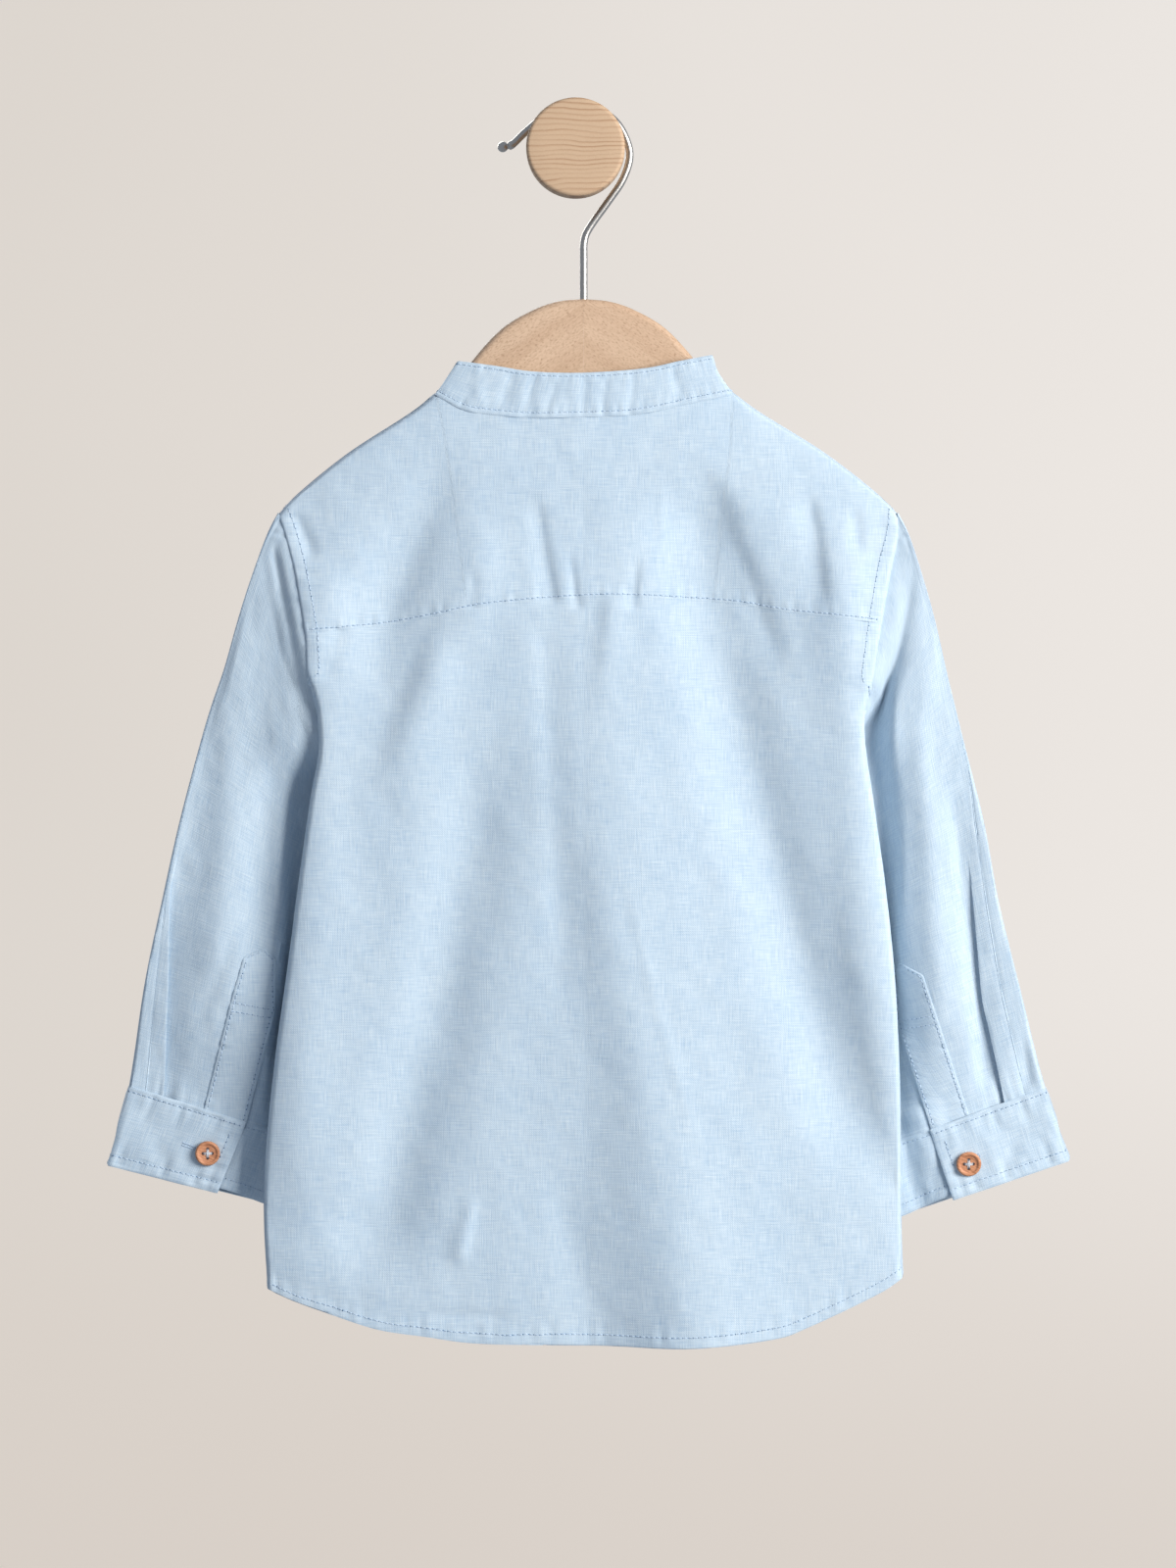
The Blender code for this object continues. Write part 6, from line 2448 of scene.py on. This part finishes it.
@dataclass
class Buttons:
    """The four-hole buttons, their threads and their places."""

    radius: float = 5.7
    rim: float = 2.2
    dish: float = 1.5
    hole: float = 0.78
    spread: float = 1.45
    thread: float = 0.24
    gap: float = 0.25

    def mesh(self) -> Mesh:
        """One button, with its face towards local +Z.

        Returns:
            The mesh, in metres.
        """
        r, rim, dish = self.radius, self.rim, self.dish
        foot = [(r - 1.3, 0.0), (r - 0.5, 0.2), (r, 0.9), (r - 0.05, 1.5)]
        edge = [(r - 0.45, rim - 0.08), (r - 0.9, rim), (r - 1.3, rim - 0.12)]
        outline = smooth_path([*foot, *edge, (r - 1.75, dish + 0.14), (r - 2.3, dish)], 4)
        profile = np.vstack(((0.0, 0.0), (1.0, 0.0), outline, (1.0, dish), (0.0, dish)))
        blank = show("blank", lathe("blank", profile, 72))
        drill = bmesh.new()
        for sx in (-1.0, 1.0):
            for sy in (-1.0, 1.0):
                sizes = {"radius1": self.hole * MM, "radius2": self.hole * MM, "depth": 8.0 * MM}
                made = bmesh.ops.create_cone(drill, cap_ends=True, segments=20, **sizes)
                place = (sx * self.spread * MM, sy * self.spread * MM, 0.0)
                bmesh.ops.translate(drill, verts=made["verts"], vec=place)
        cutter = show("drill", poured(drill, "drill"))
        change = blank.modifiers.new("holes", "BOOLEAN")
        change.operation, change.object = "DIFFERENCE", cutter
        settle(blank)
        mesh = blank.data
        for spare in (blank, cutter):
            bpy.data.objects.remove(spare)
        smooth(mesh, 40.0)
        return mesh

    def sew(self, base: Array, normal: Array, u: Array, v: Array) -> Stitches:
        """Threads that cross over a button's holes, two by two, and go down through it.

        Args:
            base: The middle of the button's underside.
            normal: The way its face looks.
            u, v: The directions along its rows of holes.

        Returns:
            The threads.
        """
        threads = Stitches()
        face = base + normal * (self.dish + 0.05)
        for turn in (1.0, -1.0):
            along, aside = (u + v * turn) * self.spread, v - u * turn
            for shift in (-self.thread, self.thread):
                ends = (face + along * end + aside * shift for end in (-1, 1))
                threads.strand(*ends, normal, self.thread, 1.6 + 0.5 * turn)
        for shift in (-0.3, 0.3):
            ends = (base + normal * height + u * shift for height in (-0.2, self.dish + 0.1))
            threads.strand(*ends, u, self.thread)
        return threads

    def build(self, seats: Sequence[ButtonSeat]) -> None:
        """Make every button, seat it on its cloth and sew it on.

        Args:
            seats: Where the buttons sit.
        """
        mesh = self.mesh()
        mesh.materials.append(finishes().button)
        for seat in seats:
            point, normal = Landing(seat.cloth).on(*seat.spot, seat.facing)
            across = np.cross((0.0, 0.0, 1.0), normal)
            across /= np.linalg.norm(across)
            upright = np.cross(normal, across)
            u, v = (across + upright) * math.sqrt(0.5), (upright - across) * math.sqrt(0.5)
            base = point + normal * self.gap
            name = seat.node.title()
            piece = show(f"{name}_Disc", mesh.copy())
            local = np.array([vertex.co for vertex in mesh.vertices])
            piece.data.vertices.foreach_set("co", (base * MM + local @ np.array((u, v, normal))).ravel())
            piece.data.update()
            keep(piece, "button", seat.node)
            self.sew(base, normal, u, v).make(f"{name}_Thread", "button")


# --- hanger, hook and peg


HANGER_OUTLINE = spots(
    (0, 67.8), (-11.6, 68.9), (-23.2, 72.8), (-37.8, 81.5), (-52, 97), (-58.5, 108), (-66, 117.5),
    (-78, 126), (-94, 136), (-108, 145.8), (-119, 154.8), (-126.5, 162.5), (-129.5, 168), (-128, 173),
    (-122.5, 174.5), (-113, 167.5), (-96, 153.5), (-77, 140.5), (-56, 128), (-32, 116.5), (-14, 111.8),
    (0, 110.8),
)
HOOK_ROUTE = spots(
    (-33.6, -2.5), (-29.3, -3.6), (-23.2, -9.3), (-13.7, -16.6), (0, -20.1), (12, -18.6), (19.3, -13.2),
    (23.9, -4.4), (24.8, 3.3), (21.4, 13.2), (14.5, 23.4), (6.4, 34.8), (3.9, 41), (3.7, 50), (3.7, 66),
    (3.7, 80.8),
)


@dataclass
class Hanger:
    """The child's hanger, two mirrored halves glued at the middle."""

    middle: float = 3.7
    thickness: float = 10.0
    round: float = 3.2
    joint: float = 0.015
    arcs: int = 7

    def half(self, side: Side) -> Mesh:
        """One half's rounded slab, closed at the joint.

        Args:
            side: The half.

        Returns:
            The mesh.
        """
        left = smooth_path(HANGER_OUTLINE, 6)
        right = left[::-1] * (-1.0, 1.0)
        ring = np.vstack((left[:-1], right[:-1])) + (self.middle, 0.0)
        ahead, behind = np.roll(ring, -1, axis=0), np.roll(ring, 1, axis=0)
        run = (ahead - behind) / np.linalg.norm(ahead - behind, axis=1, keepdims=True)
        inward = np.stack((run[:, 1], -run[:, 0]), axis=-1)
        centroid = np.array((self.middle, 90.0))
        inward *= np.sign(((centroid - ring[:1]) * inward[:1]).sum())
        turns = np.linspace(0.0, math.pi / 2.0, self.arcs)
        insets = self.round * (1.0 - np.sin(turns))
        depths = self.round * (1.0 - np.cos(turns)) - self.thickness / 2.0
        rims = [*zip(insets, depths), *zip(insets[::-1], -depths[::-1])]
        slab = bmesh.new()
        corners = []
        for inset, depth in rims:
            place = ring + inward * inset
            corners += [slab.verts.new((x * MM, (MIDDLE_Y + depth) * MM, -down * MM)) for x, down in place]
        for face in bands(len(rims), len(ring), capped=True):
            slab.faces.new([corners[number] for number in face])
        place = ((self.middle + side.value * self.joint) * MM, 0.0, 0.0)
        plane = {"plane_co": place, "plane_no": (-side.value, 0.0, 0.0), "clear_outer": True}
        cut = bmesh.ops.bisect_plane(slab, geom=slab.verts[:] + slab.edges[:] + slab.faces[:], **plane)
        edges = [part for part in cut["geom_cut"] if isinstance(part, bmesh.types.BMEdge)]
        bmesh.ops.holes_fill(slab, edges=edges)
        bmesh.ops.recalc_face_normals(slab, faces=slab.faces)
        return poured(slab, f"hanger_{side.word}_wood")

    def build(self) -> None:
        """Make and dress both halves.

        """
        for side, finish in zip(Side, (finishes().beech_left, finishes().beech_right)):
            piece = show(f"Hanger_{side.word.title()}_Wood", self.half(side), finish)
            smooth(piece.data, 40.0)
            keep(piece, "beech", f"hanger_{side.word}")


@dataclass
class Hook:
    """The steel wire hook, with a ball on its tip."""

    wire: float = 1.75
    ball: float = 2.45
    neck: float = 1.35
    flare: float = 1.95
    sides: int = 24

    def radius(self, distance: float) -> float:
        """Radius at a distance from the tip.

        Args:
            distance: The distance.

        Returns:
            The radius.
        """
        if distance < 1.82 * self.ball:
            return math.sqrt(max(self.ball**2 - (self.ball - distance) ** 2, 1e-4))
        return float(np.interp(distance, (4.9, 5.5, 6.6, 8.0), (self.neck, self.flare, self.flare, self.wire)))

    def build(self) -> None:
        """Make and dress the wire.

        """
        first, second = (np.array(spot) for spot in HOOK_ROUTE[:2])
        tip = first + (first - second) / np.linalg.norm(first - second) * self.ball
        line = Line.through([tip, *HOOK_ROUTE])
        fine = self.ball * (1.0 - np.cos(np.linspace(0.0, math.pi * 0.8, 16)))
        collar, wire = np.arange(4.6, 8.4, 0.3), np.arange(8.6, line.length, 1.2)
        places = np.concatenate((fine, collar, wire, [line.length]))
        centres = line.at(places / line.length)
        ahead = line.at((places + 0.4) / line.length) - line.at((places - 0.4) / line.length)
        ahead /= np.linalg.norm(ahead, axis=1, keepdims=True)
        rings = []
        for centre, run, place in zip(centres, ahead, places):
            ring = circle(self.sides, (run[1], 0.0, run[0]), (0.0, 1.0, 0.0))
            rings.append(np.array((centre[0], MIDDLE_Y, -centre[1])) + ring * self.radius(place))
        mesh = new_mesh("hook_wire", rings, bands(len(rings), self.sides, capped=True))
        smooth(mesh, 60.0)
        keep(show("Hanger_Hook_Wire", mesh, finishes().steel), "steel", "hanger_hook")


@dataclass
class WallPeg:
    """The turned wall peg: a neck from the wall and a thicker disc before it."""

    neck: float = 18.0
    neck_length: float = 32.0
    disc: float = 22.6
    depth: float = 46.0
    round: float = 1.9

    def build(self) -> None:
        """Make and dress the peg.

        """
        neck, disc, r, front, back = self.neck, self.disc, self.round, self.depth, self.neck_length
        outline = [(0.0, 0.0), (neck - 0.4, 0.0), (neck, 0.4), (neck, back - 0.5), (neck + 0.4, back)]
        outline += [(disc - 1.0, back), (disc - 0.3, back + 0.3), (disc, back + 1.0)]
        for turn in np.linspace(0.0, math.pi / 2.0, 7):
            outline.append((disc - r + r * math.cos(turn), front - r + r * math.sin(turn)))
        outline += [(disc * 0.6, front), (disc * 0.2, front), (0.0, front)]
        mesh = lathe("peg_wood", np.array(outline), 128)
        local = np.array([vertex.co for vertex in mesh.vertices])
        mesh.vertices.foreach_set("co", np.stack((local[:, 0], -local[:, 2], local[:, 1]), axis=-1).ravel())
        mesh.update()
        smooth(mesh, 35.0)
        keep(show("Wall_Peg_Wood", mesh, finishes().peg), "beech", "wall_peg")


# --- studio


@dataclass
class Studio:
    """Pale curved backdrop, soft lights and the camera."""

    camera_place: Triple = (0.0057, -2.533, -0.2913)
    lens: float = 125.0
    sensor: float = 36.0
    floor: float = -1.5
    radius: float = 6.0
    corner: float = 2.0
    wall: float = 6.0
    sky: Triple = (0.86, 0.96, 1.12)
    sky_strength: float = 0.335
    key_from: Triple = (0.74, -0.62, 0.25)
    key_size: float = 1.2
    key_power: float = 70.0
    key_colour: Triple = (1.0, 0.985, 0.955)
    fill_from: Triple = (-0.3, 0.8, 0.45)
    fill_power: float = 32.0

    def backdrop(self) -> Object:
        """Floor that curves up into a wall all round.

        Returns:
            The backdrop.
        """
        outline = [(0.0, self.floor), (self.radius * 0.3, self.floor)]
        for turn in np.linspace(0.0, math.pi / 2.0, 12):
            reach = self.radius - self.corner + self.corner * math.sin(turn)
            outline.append((reach, self.floor + self.corner * (1.0 - math.cos(turn))))
        outline += [(self.radius, self.wall), (0.0, self.wall)]
        mesh = lathe("studio_paper", np.array(outline) / MM, 64)
        mesh.shade_smooth()
        piece = show("Studio_Backdrop", mesh, Paper().material())
        piece.visible_diffuse = False
        piece.visible_shadow = False
        piece.visible_glossy = False
        return piece

    def lamp(self, name: str, direction: Triple, distance: float, size: float, power: float) -> Object:
        """A soft square lamp that looks at the shirt's middle.

        Args:
            name: Its name.
            direction: Where it stands, seen from the shirt.
            distance: How far off, in metres.
            size: Its side.
            power: Its power in watts.

        Returns:
            The lamp.
        """
        data = bpy.data.lights.new(name, "AREA")
        data.shape, data.size, data.energy, data.color = "SQUARE", size, power, self.key_colour
        lamp = bpy.data.objects.new(name, data)
        bpy.context.scene.collection.objects.link(lamp)
        away = Vector(direction).normalized()
        lamp.location = Vector((0.0, -0.03, -0.3)) + away * distance
        lamp.rotation_euler = away.to_track_quat("Z", "Y").to_euler()
        return lamp

    def build(self) -> None:
        """Set up the backdrop, the lights and the camera."""
        scene = bpy.context.scene
        world = bpy.data.worlds.new("studio_sky")
        world.use_nodes = True
        background = world.node_tree.nodes["Background"]
        background.inputs["Color"].default_value = (*self.sky, 1.0)
        background.inputs["Strength"].default_value = self.sky_strength
        scene.world = world
        lamps = [
            self.lamp("Key_Lamp", self.key_from, 2.2, self.key_size, self.key_power),
            self.lamp("Wall_Side_Lamp", self.fill_from, 2.4, 1.4, self.fill_power),
        ]
        self.backdrop()
        data = bpy.data.cameras.new("camera")
        data.lens, data.sensor_width = self.lens, self.sensor
        camera = bpy.data.objects.new("Camera", data)
        camera.location, camera.rotation_euler = self.camera_place, (math.pi / 2.0, 0.0, 0.0)
        scene.collection.objects.link(camera)
        scene.camera = camera
        scene.view_settings.view_transform = "Standard"


# --- the whole shirt


def main() -> None:
    """Build and dress the shirt, its hanger and the peg, then set up the studio."""
    logging.basicConfig(level=logging.INFO, format="%(name)s: %(message)s")
    torso = TorsoForm()
    Back(torso).build()
    Yoke(torso).build()
    fronts = Fronts(torso).build()
    placket = FrontPlacket()
    strip = placket.build(Landing(*fronts))
    collar = CollarBand(torso).build()
    seats = []
    for number, down in enumerate(placket.buttons, 1):
        seats.append(ButtonSeat(f"button_front_{number}", strip, Spot(CENTRE, down), Facing.WALL))
    seats.append(ButtonSeat("button_collar", collar, Spot(CENTRE, COLLAR_BUTTON), Facing.WALL))
    for side in Side:
        form = CUFF_FORMS[side]
        sleeve = Sleeve(SleeveForm(side, SLEEVE_ROWS[side], torso, *SLEEVE_FALLS[side]), form).build()
        SLEEVE_PLACKETS[side].build(Landing(sleeve))
        cuff = Cuff(form, CUFF_SLITS[side]).build()
        seats.append(ButtonSeat(f"button_cuff_{side.word}", cuff, form.button, Facing.VIEW))
    Buttons().build(seats)
    Hanger().build()
    Hook().build()
    WallPeg().build()
    Studio().build()


if __name__ == "__main__":
    main()
